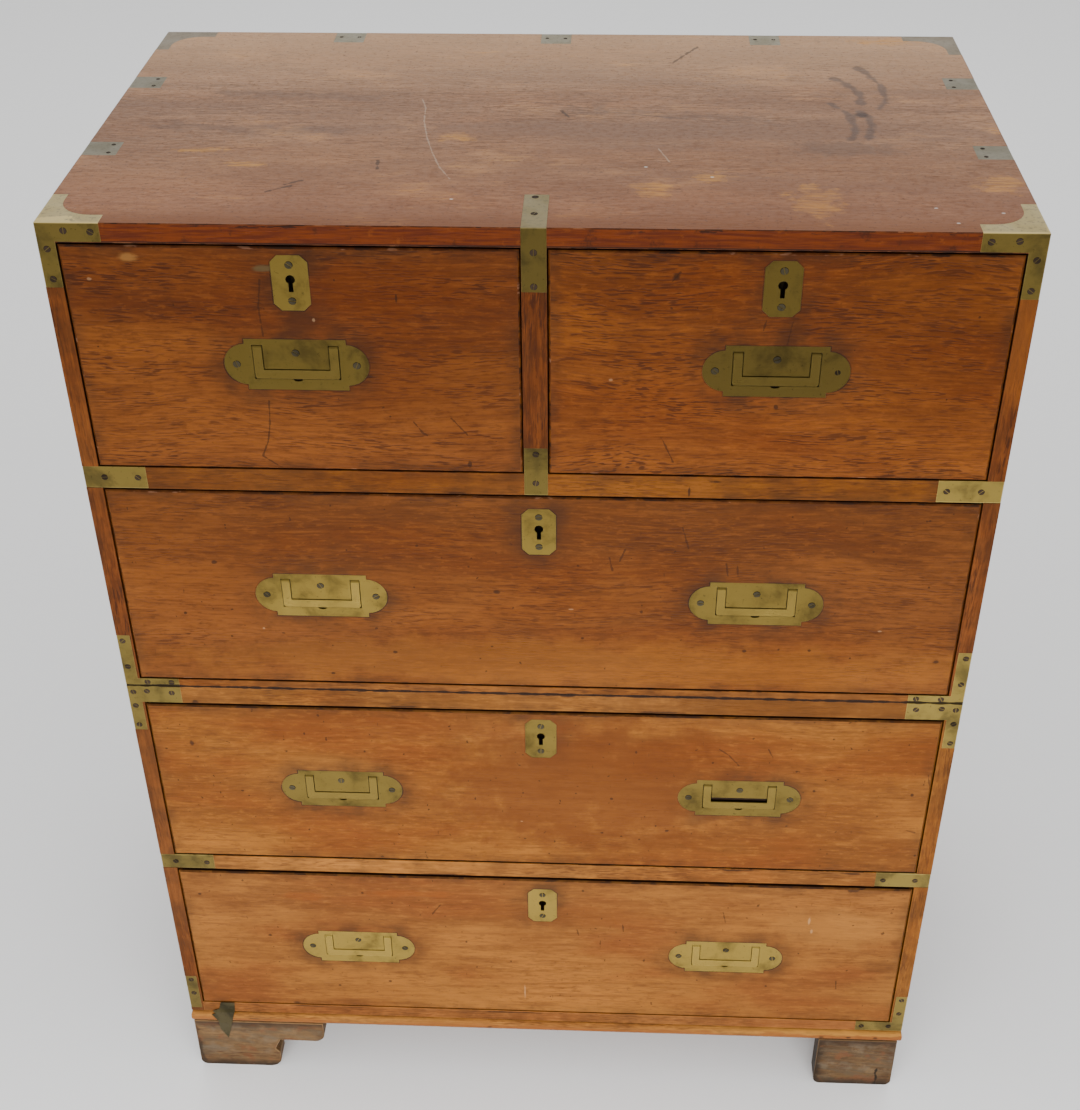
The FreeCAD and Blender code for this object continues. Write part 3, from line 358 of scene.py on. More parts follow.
def strokes(recipe, where, lines, width, unsteady=0.9, scale=170.0):
    """1 on these lines, 0 beside them. Each line is a row of points, and no line is evenly wide."""
    nearest = None
    for points in lines:
        for start, end in zip(points, points[1:]):
            distance = line_distance(recipe, where, start, end)
            nearest = distance if nearest is None else recipe.maths("MINIMUM", nearest, distance)
    wobble = recipe.maths("SUBTRACT", recipe.noise(where, scale, 3.0, 0.6), 0.5)
    nearest = recipe.maths("ADD", nearest, recipe.times(wobble, 4.0 * unsteady * width))
    return recipe.ramp(nearest, width, width * 0.3)


def oval(x, z, half_x, half_z):
    """An oval on the front, as spots takes it: its middle and its half sizes."""
    return (x, 0.0, z), (half_x, 1.0, half_z)


def spots(recipe, where, ovals, ragged=0.4, scale=160.0):
    """1 inside these ovals, 0 outside. Each oval is a middle and its half sizes, and its edge is ragged."""
    nearest = None
    for centre, half in ovals:
        offset = recipe.vector("SUBTRACT", where, centre)
        reach = recipe.vector("LENGTH", recipe.vector("DIVIDE", offset, half))
        nearest = reach if nearest is None else recipe.maths("MINIMUM", nearest, reach)
    edge = recipe.maths("SUBTRACT", recipe.noise(where, scale, 4.0, 0.65), 0.5)
    return recipe.ramp(recipe.maths("ADD", nearest, recipe.times(edge, 4.0 * ragged)), 1.25, 0.55)


# %% [markdown]
# No two boards look alike, and light has changed each one in its own way: the upper drawers are still red,
# the lower ones have been bleached to gold. So every tone is a set of three colours that the noise mixes, and
# a few woods have a grain of their own too.

# %% Waxed wood
# Each wood's light, dark and red tone, as linear colours.
TONES = {
    "front": ((0.150, 0.045, 0.007), (0.078, 0.019, 0.003), (0.100, 0.022, 0.003)),
    "right_front": ((0.176, 0.052, 0.007), (0.094, 0.023, 0.003), (0.119, 0.025, 0.003)),
    "middle": ((0.146, 0.045, 0.006), (0.077, 0.021, 0.003), (0.100, 0.024, 0.003)),
    "golden": ((0.198, 0.072, 0.009), (0.110, 0.034, 0.004), (0.126, 0.033, 0.004)),
    "honey": ((0.185, 0.069, 0.011), (0.108, 0.035, 0.006), (0.121, 0.034, 0.006)),
    "case": ((0.164, 0.053, 0.006), (0.090, 0.025, 0.003), (0.112, 0.026, 0.003)),
    "under_board": ((0.190, 0.066, 0.010), (0.105, 0.032, 0.004), (0.130, 0.032, 0.004)),
    "split_board": ((0.226, 0.086, 0.014), (0.128, 0.044, 0.006), (0.155, 0.041, 0.006)),
    "low_rail": ((0.246, 0.094, 0.016), (0.140, 0.048, 0.007), (0.170, 0.045, 0.007)),
    "base_rail": ((0.240, 0.090, 0.020), (0.150, 0.052, 0.010), (0.172, 0.048, 0.010)),
    "upright": ((0.142, 0.040, 0.006), (0.076, 0.018, 0.003), (0.095, 0.019, 0.003)),
    "divider": ((0.138, 0.036, 0.005), (0.066, 0.015, 0.002), (0.090, 0.017, 0.002)),
    "low_left": ((0.128, 0.040, 0.007), (0.070, 0.020, 0.003), (0.088, 0.020, 0.003)),
    "low_right": ((0.206, 0.076, 0.010), (0.122, 0.040, 0.005), (0.145, 0.038, 0.005)),
    "top": ((0.350, 0.175, 0.098), (0.232, 0.110, 0.064), (0.300, 0.122, 0.056)),
    "lid_edge": ((0.190, 0.052, 0.012), (0.075, 0.019, 0.005), (0.105, 0.022, 0.005)),
    "moulding": ((0.265, 0.108, 0.020), (0.150, 0.055, 0.011), (0.175, 0.055, 0.011)),
    "foot": ((0.125, 0.078, 0.040), (0.068, 0.043, 0.024), (0.085, 0.046, 0.024)),
    "left_foot": ((0.165, 0.094, 0.040), (0.088, 0.050, 0.022), (0.110, 0.054, 0.022)),
    "right_foot": ((0.092, 0.052, 0.022), (0.040, 0.023, 0.011), (0.060, 0.025, 0.010)),
    "pale": ((0.500, 0.330, 0.170), (0.380, 0.235, 0.112), (0.400, 0.225, 0.100)),
    "old_back": ((0.270, 0.150, 0.070), (0.165, 0.085, 0.038), (0.185, 0.082, 0.034)),
}
print("woods:", len(TONES))
PORE = (0.036, 0.009, 0.003)
DIRT = (0.022, 0.009, 0.004)

# How much the grain wanders (metres), how dark its pores are where they are few and where many, and how
# strong its soft streaks, its fibre, its clouds and its flecks are.
GRAIN_LOOKS = {"front": (0.030, 0.22, 0.72, 0.36, 0.36, 0.50, 0.42),
               "right_front": (0.036, 0.22, 0.74, 0.36, 0.36, 0.50, 0.42),
               "middle": (0.018, 0.14, 0.50, 0.38, 0.32, 0.55, 0.42),
               "golden": (0.014, 0.03, 0.26, 0.40, 0.22, 0.95, 0.42),
               "honey": (0.014, 0.03, 0.22, 0.40, 0.20, 0.90, 0.40),
               "upright": (0.012, 0.22, 0.75, 0.50, 0.50, 0.45, 0.42),
               "divider": (0.012, 0.25, 0.80, 0.60, 0.60, 0.45, 0.42),
               "pale": (0.020, 0.02, 0.12, 0.30, 0.22, 0.60, 0.16),
               "old_back": (0.024, 0.05, 0.35, 0.45, 0.30, 0.80, 0.25)}
PLAIN_GRAIN = (0.012, 0.10, 0.50, 0.40, 0.34, 0.50, 0.42)


# %% [markdown]
# Dust and wax gather in the narrow gaps round the drawers, and shade falls into them, most of all just behind
# the front. Dark strips in the gaps would do for one view only. Here the dirt and the painted shade are part
# of the wood, by its depth behind the front face, so they stay on their board when a drawer is pulled out.

# %% Dirt and painted shade in the gaps
CASE_HALF = 0.3935
CASE_TOP = 1.0383
CASE_FRONT = -0.231
SPLIT = 0.5673
# The dark of dirt and painted shade in the gaps, and of chips.
GRIME_AND_SHADE = (0.010, 0.005, 0.003)
# The shares of the dirt and painted shade that are left where the gaps look paler.
PALER_GAP_UPRIGHT = 0.45
PALER_GAP_BASE = 0.20
# Zones with less dirt and painted shade, each from its edge to where it is whole: the uprights, beside the
# long drawers, beside the lowest drawer, and the base rail.
UPRIGHT_ZONE, LONG_ZONE = (0.0200, 0.0178), (0.80, 0.78)
LOWEST_ZONE, BASE_ZONE = (0.316, 0.308), (0.120, 0.112)


def gap_dirt_and_shade(recipe, colour, face):
    """Dirt and painted shade in the gaps round a drawer: dark just behind the front face, paler further in and
    at the sides.
    """
    parts = recipe.axes()
    depth = recipe.maths("SUBTRACT", parts["Y"], face)
    from_flank = recipe.maths("SUBTRACT", CASE_HALF, recipe.maths("ABSOLUTE", parts["X"]))
    from_top = recipe.maths("SUBTRACT", CASE_TOP, parts["Z"])
    inner = recipe.ramp(recipe.maths("MINIMUM", from_flank, from_top), 0.0004, 0.0012)
    start = recipe.ramp(depth, 0.0004, 0.0013)
    deep = recipe.ramp(depth, 0.0022, 0.0080, low=0.96, high=0.34)
    share = recipe.times(recipe.times(start, deep), inner)
    upright = recipe.times(recipe.ramp(from_flank, *UPRIGHT_ZONE), recipe.ramp(parts["Z"], *LONG_ZONE))
    share = recipe.times(share, recipe.ramp(upright, 0.0, 1.0, low=1.0, high=PALER_GAP_UPRIGHT))
    lowest = recipe.times(recipe.ramp(from_flank, *UPRIGHT_ZONE), recipe.ramp(parts["Z"], *LOWEST_ZONE))
    lowest = recipe.maths("MAXIMUM", lowest, recipe.ramp(parts["Z"], *BASE_ZONE))
    share = recipe.times(share, recipe.ramp(lowest, 0.0, 1.0, low=1.0, high=PALER_GAP_BASE))
    return recipe.mix(share, colour, GRIME_AND_SHADE)


def painted_split_shadow(recipe, colour):
    """A painted shadow along the line where the upper case stands on the lower one, on wood and brass alike.
    """
    height = recipe.axes()["Z"]
    from_split = recipe.maths("ABSOLUTE", recipe.maths("SUBTRACT", height, SPLIT))
    ragged = recipe.noise(recipe.place, scale=90.0, detail=3.0)
    reach = recipe.maths("SUBTRACT", from_split, recipe.ramp(ragged, 0.35, 0.65, low=0.0008, high=0.0018))
    return recipe.mix(recipe.ramp(reach, 0.0004, -0.0002, high=0.92), colour, GRIME_AND_SHADE)


# %% [markdown]
# One function makes every wood, from the tree to the wax. It goes from the largest pattern to the smallest
# and then from the oldest dirt to the newest, because each layer is seen through the next.

# %% Wood, from the tree to the wax
def waxed_wood(name, tone, grain="X", seed=0.0, box=None, plates=(), wear=1.0, gloss=0.42, sheen=0.10,
               marks=None, gap_face=None):
    """Wood for one board. Plates are (distance function, middle) of the brass let into it."""
    recipe = Recipe(name)
    light, dark, red = TONES[tone]
    wander, pores_few, pores_many, streak, threads, clouds, fleck = GRAIN_LOOKS.get(tone, PLAIN_GRAIN)
    wood = along_grain(recipe, grain, seed)
    swirl = recipe.scatter(stretched(recipe, wood, 4.5, 11.0), detail=1.0)
    wood = recipe.vector("ADD", wood, recipe.vector("MULTIPLY", swirl, (0.0, wander, wander)))
    bands = recipe.noise(stretched(recipe, wood, 1.1, 9.0), detail=3.0, roughness=0.55, distortion=0.5)
    mottle = recipe.noise(stretched(recipe, wood, 5.0, 13.0), detail=3.0)
    streaks = recipe.noise(stretched(recipe, wood, 9.0, 140.0), detail=3.0, roughness=0.6)
    fibre = recipe.noise(stretched(recipe, wood, 30.0, 430.0), detail=2.0)
    clumps = recipe.noise(stretched(recipe, wood, 10.0, 42.0), detail=2.0)
    dashes = recipe.noise(stretched(recipe, wood, 74.0, 720.0), detail=1.0, distortion=0.2)
    flecks = recipe.noise(stretched(recipe, wood, 75.0, 230.0), detail=3.0, roughness=0.7)
    colour = recipe.mix(recipe.ramp(bands, 0.34, 0.66), light, dark)
    colour = recipe.glaze(colour, mottle, 0.46, 0.66, clouds, red)
    colour = recipe.glaze(colour, mottle, 0.48, 0.32, 0.8 * clouds, toned(light, 1.2))
    colour = recipe.glaze(colour, streaks, 0.47, 0.66, streak, toned(dark, 0.72))
    colour = recipe.glaze(colour, streaks, 0.46, 0.30, 0.6 * streak, toned(light, 1.15))
    colour = recipe.glaze(colour, fibre, 0.46, 0.66, threads, toned(dark, 0.80))
    colour = recipe.glaze(colour, fibre, 0.46, 0.30, 0.7 * threads, toned(light, 1.25))
    colour = recipe.glaze(colour, flecks, 0.52, 0.68, fleck, toned(dark, 0.66))
    colour = recipe.glaze(colour, flecks, 0.47, 0.33, 0.7 * fleck, toned(light, 1.25))
    many = recipe.ramp(clumps, 0.40, 0.62, low=pores_few, high=pores_many)
    pores = recipe.times(recipe.ramp(dashes, 0.51, 0.63), many)
    colour = recipe.mix(pores, colour, PORE)
    rough = recipe.ramp(mottle, 0.3, 0.7, low=gloss - 0.05, high=gloss + 0.10)

    if box is not None:
        distance = arris_distance(recipe, box)
        patchy = recipe.noise(recipe.place, scale=26.0, detail=3.0, roughness=0.6)
        worn = recipe.ramp(distance, 0.0030, 0.0006)
        worn = recipe.times(worn, recipe.ramp(patchy, 0.45, 0.66, high=0.30 * wear))
        colour = recipe.mix(worn, colour, toned(light, 1.20))
        # Dirt beside the arrises. Where wear is raised, as on the feet, it also stands for painted shade.
        grime = recipe.ramp(distance, 0.016, 0.002)
        grime = recipe.times(grime, recipe.ramp(patchy, 0.62, 0.36, high=0.42 * wear))
        colour = recipe.mix(grime, colour, DIRT)
    for distance_from, centre in plates:
        ring = distance_from(recipe, centre)
        cloud = recipe.noise(recipe.place, scale=38.0, detail=3.0)
        halo = recipe.times(recipe.ramp(ring, 0.026, 0.0),
                            recipe.ramp(cloud, 0.34, 0.66, low=0.10, high=0.62))
        colour = recipe.mix(halo, colour, DIRT)
        seam = recipe.times(recipe.ramp(ring, 0.0013, 0.0005),
                            recipe.ramp(cloud, 0.38, 0.62, low=0.25, high=0.85))
        colour = recipe.mix(seam, colour, DIRT)
    if marks is not None:
        colour, rough = marks(recipe, colour, rough)
    # Dirt and painted shade in the gaps round the drawers, and a painted shadow along the split between the
    # cases.
    if gap_face is not None:
        colour = painted_split_shadow(recipe, gap_dirt_and_shade(recipe, colour, gap_face))
    height = recipe.maths("ADD", recipe.times(pores, -0.6), recipe.times(fibre, 0.25))
    relief = recipe.bump(height, 0.00035)
    return recipe.surface(Base_Color=colour, Roughness=rough, Normal=relief, Specular_IOR_Level=sheen)


# %% [markdown]
# The arrises catch every knock and cloth. They get a finish of their own: darker than the face beside them,
# which is painted shade, with pale scuffs that are partly painted highlights, and dark chips between. It could
# be painted onto the board's own finish by distance, but the bevels are faces of their own, so a second
# material is simpler and follows them exactly.

# %% Worn arrises, with painted shade and highlights
# The colour of the pale scuffs, partly painted highlights, where it isn't just a lighter wood.
PALE_SCUFF_AND_HIGHLIGHT = {"front": (0.210, 0.100, 0.055), "right_front": (0.210, 0.100, 0.055),
              "middle": (0.220, 0.105, 0.055), "lid_edge": (0.26, 0.10, 0.04)}
# Painted shade: an arris is this share of the wood's light, and less round the two sunned drawers.
SHADE, DEEP_SHADE = 0.72, 0.42
DEEP_SHADED = ("golden", "honey")
# Beyond the first pair an arris belongs to the sides, below the second to the base. Both are light, with
# little dirt and no painted shade.
SIDE_ARRIS, BASE_ARRIS = (0.3765, 0.3774), (0.120, 0.113)
# The top has the finish lid_edge on its arrises. The moulding and the bare boards have none of their own.
WITHOUT_ARRIS = ("top", "moulding", "pale", "old_back")


def worn_arris_with_painted_light(name, tone):
    recipe = Recipe(name)
    shade = DEEP_SHADE if tone in DEEP_SHADED else SHADE
    light, dark = TONES[tone][:2]
    patchy = recipe.noise(recipe.place, scale=55.0, detail=4.0, roughness=0.65)
    scuffs = recipe.noise(recipe.vector("MULTIPLY", recipe.place, (60.0, 150.0, 150.0)), detail=3.0,
                          roughness=0.6)
    parts = recipe.axes()
    at_side = recipe.ramp(recipe.maths("ABSOLUTE", parts["X"]), *SIDE_ARRIS)
    # Painted shade: the arris is a darker share of the wood.
    colour = recipe.mix(recipe.ramp(patchy, 0.40, 0.62), toned(dark, shade), toned(light, shade))
    at_base = recipe.ramp(parts["Z"], *BASE_ARRIS)
    colour = recipe.mix(recipe.maths("MAXIMUM", at_side, at_base), colour, toned(light, 0.80))
    # Pale scuffs, partly painted highlights.
    pale = PALE_SCUFF_AND_HIGHLIGHT.get(tone, toned(light, 1.6 * shade))
    colour = recipe.glaze(colour, scuffs, 0.61, 0.69, 0.65, pale)
    dirty = recipe.times(recipe.ramp(at_side, 0.0, 1.0, low=0.85, high=0.40),
                         recipe.ramp(at_base, 0.0, 1.0, low=1.0, high=0.30))
    colour = recipe.mix(recipe.times(recipe.ramp(scuffs, 0.46, 0.39), dirty), colour, DIRT)
    return recipe.surface(Base_Color=painted_split_shadow(recipe, colour), Roughness=0.40, Specular_IOR_Level=0.12)


arrises = {tone: worn_arris_with_painted_light(tone + "_arris", tone) for tone in TONES if tone not in WITHOUT_ARRIS}
print(len(arrises), "finishes for arrises")

# %% [markdown]
# ## Brass
# Lacquerless brass turns from gold to olive, darker where fingers don't reach. Broad and fine noise mix the
# two, and thin streaks across the roughness stand for polishing.

# %% Aged brass
def aged_brass(name, bright, dull, patina=0.5, gloss=0.36, sunk_from=None, finish=None):
    """Brass with clouds of patina. It is dirty behind its face, which is given as an axis and a place."""
    recipe = Recipe(name)
    cloud = recipe.noise(recipe.place, scale=34.0, detail=4.0, roughness=0.6, distortion=0.3)
    spots_of_dirt = recipe.noise(recipe.place, scale=260.0, detail=3.0, roughness=0.65)
    brushing = recipe.noise(recipe.vector("MULTIPLY", recipe.place, (60.0, 60.0, 1800.0)), detail=2.0)
    share = recipe.ramp(cloud, 0.62 - 0.3 * patina, 0.86 - 0.3 * patina)
    colour = recipe.mix(share, bright, dull)
    colour = recipe.glaze(colour, spots_of_dirt, 0.60, 0.74, 0.55, toned(dull, 0.35))
    parts = recipe.axes()
    if finish is not None:
        colour = finish(recipe, parts, colour, cloud, spots_of_dirt)
    if sunk_from is not None:
        axis, face = sunk_from
        depth = recipe.maths("SUBTRACT", abs(face), recipe.maths("ABSOLUTE", parts[axis]))
        colour = recipe.glaze(colour, depth, 0.0003, 0.0016, 0.93, (0.020, 0.014, 0.006))
    rough = recipe.maths("ADD", recipe.ramp(cloud, 0.3, 0.7, low=gloss, high=gloss + 0.18),
                         recipe.ramp(brushing, 0.3, 0.7, low=-0.05, high=0.05))
    height = recipe.maths("ADD", recipe.times(spots_of_dirt, 0.5), recipe.times(brushing, 0.3))
    return recipe.surface(Base_Color=colour, Metallic=0.9, Roughness=rough,
                          Normal=recipe.bump(height, 0.00012))


def bracket_finish_and_painted_light(recipe, parts, colour, cloud, dirt):
    """What lies flat on the top is grey and rubbed bright at the front corners. Painted light makes some
    straps lighter or darker, and the split has a painted shadow.
    """
    at_corner = recipe.ramp(recipe.maths("ABSOLUTE", parts["X"]), 0.31, 0.33)
    front_grey = recipe.mix(at_corner, (0.300, 0.240, 0.114), (0.500, 0.400, 0.185))
    back_grey = recipe.mix(at_corner, (0.325, 0.285, 0.195), (0.285, 0.235, 0.165))
    grey = recipe.mix(recipe.ramp(parts["Y"], -0.16, -0.08), front_grey, (0.250, 0.225, 0.160))
    grey = recipe.mix(recipe.ramp(parts["Y"], 0.10, 0.20), grey, back_grey)
    grey = recipe.glaze(grey, dirt, 0.50, 0.66, 0.45, (0.150, 0.126, 0.080))
    from_front = recipe.maths("SUBTRACT", parts["Y"], CASE_FRONT)
    ragged_front = recipe.maths("ADD", from_front, recipe.ramp(cloud, 0.35, 0.65, low=-0.004, high=0.004))
    from_side = recipe.maths("SUBTRACT", CASE_HALF, recipe.maths("ABSOLUTE", parts["X"]))
    ragged_side = recipe.maths("ADD", from_side, recipe.ramp(dirt, 0.35, 0.65, low=-0.005, high=0.005))
    on_left = recipe.ramp(parts["X"], 0.01, -0.01)
    reach_in = recipe.ramp(parts["X"], -0.01, 0.01, low=0.0095, high=0.0060)
    reach_along = recipe.ramp(parts["X"], -0.01, 0.01, low=0.028, high=0.013)
    in_front = recipe.ramp(recipe.maths("SUBTRACT", ragged_front, reach_in), 0.001, -0.001)
    near_corner = recipe.ramp(recipe.maths("SUBTRACT", ragged_side, reach_along), 0.003, -0.003)
    at_end = recipe.times(recipe.ramp(from_side, 0.0495, 0.0525), recipe.ramp(from_side, 0.0600, 0.0590))
    at_end = recipe.times(at_end, on_left)
    rubbed = recipe.times(in_front, recipe.maths("MAXIMUM", near_corner, at_end))
    front_line = recipe.times(recipe.ramp(from_front, 0.0030, 0.0016), recipe.ramp(from_side, 0.0600, 0.0590))
    side_line = recipe.times(recipe.ramp(from_side, 0.0026, 0.0012), recipe.ramp(from_front, 0.060, 0.050))
    side_line = recipe.times(side_line, recipe.ramp(cloud, 0.40, 0.60, high=0.8))
    rubbed = recipe.maths("MAXIMUM", rubbed, recipe.maths("MAXIMUM", front_line, side_line))
    lid = recipe.mix(rubbed, grey, (0.700, 0.550, 0.235))
    # Painted light: the straps low on the right and the rail straps lighter, the middle straps darker.
    low_right = recipe.times(recipe.ramp(parts["X"], 0.10, 0.11), recipe.ramp(parts["Z"], 0.90, 0.89))
    colour = recipe.tinted(colour, recipe.ramp(low_right, 0.0, 1.0, low=1.0, high=1.45))
    rail = recipe.times(recipe.ramp(parts["Z"], 0.786, 0.788), recipe.ramp(parts["Z"], 0.818, 0.816))
    colour = recipe.tinted(colour, recipe.ramp(rail, 0.0, 1.0, low=1.0, high=1.22))
    middle = recipe.ramp(recipe.maths("ABSOLUTE", parts["X"]), 0.03, 0.04, low=0.72, high=1.0)
    colour = recipe.tinted(colour, middle)
    on_lid = recipe.ramp(recipe.maths("SUBTRACT", CASE_TOP, parts["Z"]), 0.0007, 0.0003)
    return painted_split_shadow(recipe, recipe.mix(on_lid, colour, lid))


# %% [markdown]
# The handles differ in brightness, partly because some were polished and others left to go brown, partly as
# painted light. One brass with a painted light for each handle keeps them one family.

# %% The brass of each drawer
# A painted light each for the left handle, the right one and the keyhole plate.
HANDLE_LIGHT = {"short_left_drawer": (0.70, 0.70, 1.12), "short_right_drawer": (0.54, 0.54, 0.66),
                "upper_long_drawer": (1.14, 0.84, 1.05), "middle_long_drawer": (0.82, 0.82, 0.90),
                "lowest_long_drawer": (1.75, 1.72, 1.60)}
# Between these places the light goes over from the left handle to the right one. The keyhole plate's own
# light begins this far above the bails.
HANDLES_END, PLATE_OVER_BAIL = 0.10, 0.0070
PLATE_BRIGHT, PLATE_DULL = (0.172, 0.117, 0.023), (0.100, 0.068, 0.014)
BAIL_BRIGHT, BAIL_DULL = (0.190, 0.130, 0.027), (0.130, 0.089, 0.018)
DRAWER_FACE = -0.2305


def drawer_painted_light(drawer):
    """The painted light of one drawer's brass, which goes over from its left handle to its right one."""
    left, right, keyhole = HANDLE_LIGHT[drawer]
    bails = [node for node in nodes if node.startswith(drawer) and node.endswith("_bail")]
    over_handles = max(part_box(bail)[1].z for bail in bails) + PLATE_OVER_BAIL

    def finish(recipe, parts, colour, cloud, dirt):
        light = recipe.ramp(parts["X"], -HANDLES_END, HANDLES_END, low=left, high=right)
        on_keyhole = recipe.ramp(parts["Z"], over_handles, over_handles + 0.001)
        light = recipe.maths("ADD", recipe.times(light, recipe.maths("SUBTRACT", 1.0, on_keyhole)),
                             recipe.times(on_keyhole, keyhole))
        return recipe.tinted(colour, light)

    return finish


def drawer_brasses(kind, bright, dull, patina=0.5, gloss=0.36):
    """One brass of this kind for each drawer."""
    return {drawer: aged_brass(drawer + kind, bright, dull, patina, gloss, ("Y", DRAWER_FACE),
                               drawer_painted_light(drawer)) for drawer in HANDLE_LIGHT}


plate_brasses = drawer_brasses("_plate_brass", PLATE_BRIGHT, PLATE_DULL)
bail_brasses = drawer_brasses("_bail_brass", BAIL_BRIGHT, BAIL_DULL, patina=0.3, gloss=0.30)
# The bevels' brass is brighter: partly rubbed, partly a painted highlight.
edge_brasses = drawer_brasses("_edge_brass", (0.215, 0.152, 0.034), (0.110, 0.077, 0.017), patina=0.45,
                              gloss=0.32)
carrying_brass = aged_brass("carrying_brass", PLATE_BRIGHT, PLATE_DULL, sunk_from=("X", CASE_HALF))
carrying_bail_brass = aged_brass("carrying_bail_brass", BAIL_BRIGHT, BAIL_DULL, patina=0.3, gloss=0.30,
                                 sunk_from=("X", CASE_HALF))
strap_brass = aged_brass("strap_brass", (0.150, 0.106, 0.024), (0.085, 0.061, 0.016), patina=0.55,
                         finish=bracket_finish_and_painted_light)
bolt_brass = aged_brass("bolt_brass", (0.300, 0.220, 0.070), (0.160, 0.115, 0.035), patina=0.4)
edge_brass = aged_brass("edge_brass", (0.280, 0.205, 0.060), (0.120, 0.086, 0.024), patina=0.45, gloss=0.32,
                        finish=bracket_finish_and_painted_light)


def drawer_of(node):
    return next((name for name in HANDLE_LIGHT if node.startswith(name)), None)


def brass_for(node):
    """A node's brass: the bolts', that of its own drawer, the carrying handles', or the brackets'."""
    drawer = drawer_of(node)
    if "bolt" in node:
        return bolt_brass
    if drawer:
        return bail_brasses[drawer] if node.endswith("bail") else plate_brasses[drawer]
    if "carrying" in node:
        return carrying_bail_brass if node.endswith("bail") else carrying_brass
    return strap_brass


print("brasses:", len(plate_brasses) + len(bail_brasses) + len(edge_brasses), "for the drawers, 5 more")

# %% [markdown]
# ## Eased arrises
# No edge of the chest is sharp: boards are eased with a plane and then rubbed by hands and cloths, so the
# bevel is wider here and narrower there. A bevel modifier reads a weight from each edge, so the long edges
# are first divided and each short length gets its own weight from smooth noise. Brass is eased evenly and
# finely.

# %% Eased copies
# Corners closer than WELD are one, and faces within FLAT of each other are one face.
WELD, FLAT, SHARP = 1e-6, math.radians(0.5), math.radians(30)
# A corner this near a side of the box lies on it. On a chamfered board all of the chamfer does.
TOUCHING, CHAMFER = 1e-5, 0.0016
# A face of the chamfer slants: the forward part of its normal lies between these.
LEAST_SLANT, MOST_SLANT = 0.3, 0.95
# Faces whose normals have a smaller cosine between them lie on other sides of the piece.
SAME_SIDE = 0.3
# How long the lengths with a weight of their own are, and how fast the noise of the weights changes.
EASED_LENGTH, WAVES = 0.018, 23


def merged_copy(name):
    """The node's triangles joined to whole faces, as an editable mesh."""
    mesh = bmesh.new()
    mesh.from_mesh(nodes[name].data)
    bmesh.ops.remove_doubles(mesh, verts=mesh.verts, dist=WELD)
    bmesh.ops.dissolve_limit(mesh, angle_limit=FLAT, verts=mesh.verts, edges=mesh.edges)
    return mesh


def is_sharp(edge):
    return not edge.is_manifold or edge.calc_face_angle() > SHARP


def plain_object(name, mesh):
    """The mesh as an object with two places for finishes: one for its faces, one for its bevels."""
    data = bpy.data.meshes.new(name)
    mesh.to_mesh(data)
    mesh.free()
    for finish in (None, None):
        data.materials.append(finish)
    item = bpy.data.objects.new(name, data)
    bpy.context.scene.collection.objects.link(item)
    return item


def apply_modifiers(item):
    bpy.context.view_layer.update()
    graph = bpy.context.evaluated_depsgraph_get()
    finished = bpy.data.meshes.new_from_object(item.evaluated_get(graph))
    item.modifiers.clear()
    item.data = finished
    return item


def settle_normals(item):
    """Faces shade flat. The bevels between them, which have the second finish, turn the light round."""
    data = item.data
    around = [[] for corner in data.vertices]
    for face in data.polygons:
        for corner in face.vertices:
            around[corner].append(face)
    normals = [None] * len(data.loops)
    for face in data.polygons:
        for loop, corner in zip(face.loop_indices, face.vertices):
            near = [other for other in around[corner] if other.normal.dot(face.normal) > SAME_SIDE]
            flat = [other for other in near if other.material_index == 0]
            if flat:
                main = face if face.material_index == 0 else max(flat, key=lambda other: other.area)
                near = [other for other in flat if other.normal.dot(main.normal) > math.cos(SHARP)]
            normals[loop] = sum((other.normal * other.area for other in near), Vector()).normalized()
    data.normals_split_custom_set(normals)
    return item


def bevelled(item, width, segments):
    """Bevels by edge weight; the new faces take the second finish."""
    bevel = item.modifiers.new("easing", "BEVEL")
    bevel.width = width
    bevel.segments = segments
    bevel.material = 1
    bevel.limit_method = "WEIGHT"
    bevel.use_clamp_overlap = False
    for face in item.data.polygons:
        face.use_smooth = True
    return settle_normals(apply_modifiers(item))


def sides_met(corners, low, high, reach):
    """How many sides of the box all these corners touch."""
    return sum(all(abs(corner.co[axis] - side[axis]) < reach for corner in corners)
               for axis in range(3) for side in (low, high))


def eased_board(node, name, width, uneven=0.55, segments=3, chamfered=False):
    """A board with worn arrises. On a chamfered one the chamfer round its front face is rounded too."""
    low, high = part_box(node)
    mesh = merged_copy(node)
    reach = CHAMFER if chamfered else TOUCHING

    def on_outline(edge):
        in_front = not chamfered or all(corner.co.y < low.y + reach for corner in edge.verts)
        return in_front and is_sharp(edge) and sides_met(edge.verts, low, high, reach) == 2

    if chamfered:
        for face in mesh.faces:
            slants = LEAST_SLANT < abs(face.normal.y) < MOST_SLANT
            if slants and all(corner.co.y < low.y + reach for corner in face.verts):
                face.material_index = 1
    for edge in [edge for edge in mesh.edges if on_outline(edge)]:
        cuts = int(edge.calc_length() / EASED_LENGTH)
        if cuts:
            bmesh.ops.subdivide_edges(mesh, edges=[edge], cuts=cuts)
    weight = mesh.edges.layers.float.new("bevel_weight_edge")
    for edge in mesh.edges:
        if on_outline(edge):
            middle = (edge.verts[0].co + edge.verts[1].co) / 2
            edge[weight] = 1 - uneven * (0.5 + 0.5 * noise.noise(middle * WAVES))
        elif is_sharp(edge):
            edge.smooth = False
    return bevelled(plain_object(name, mesh), width, segments)


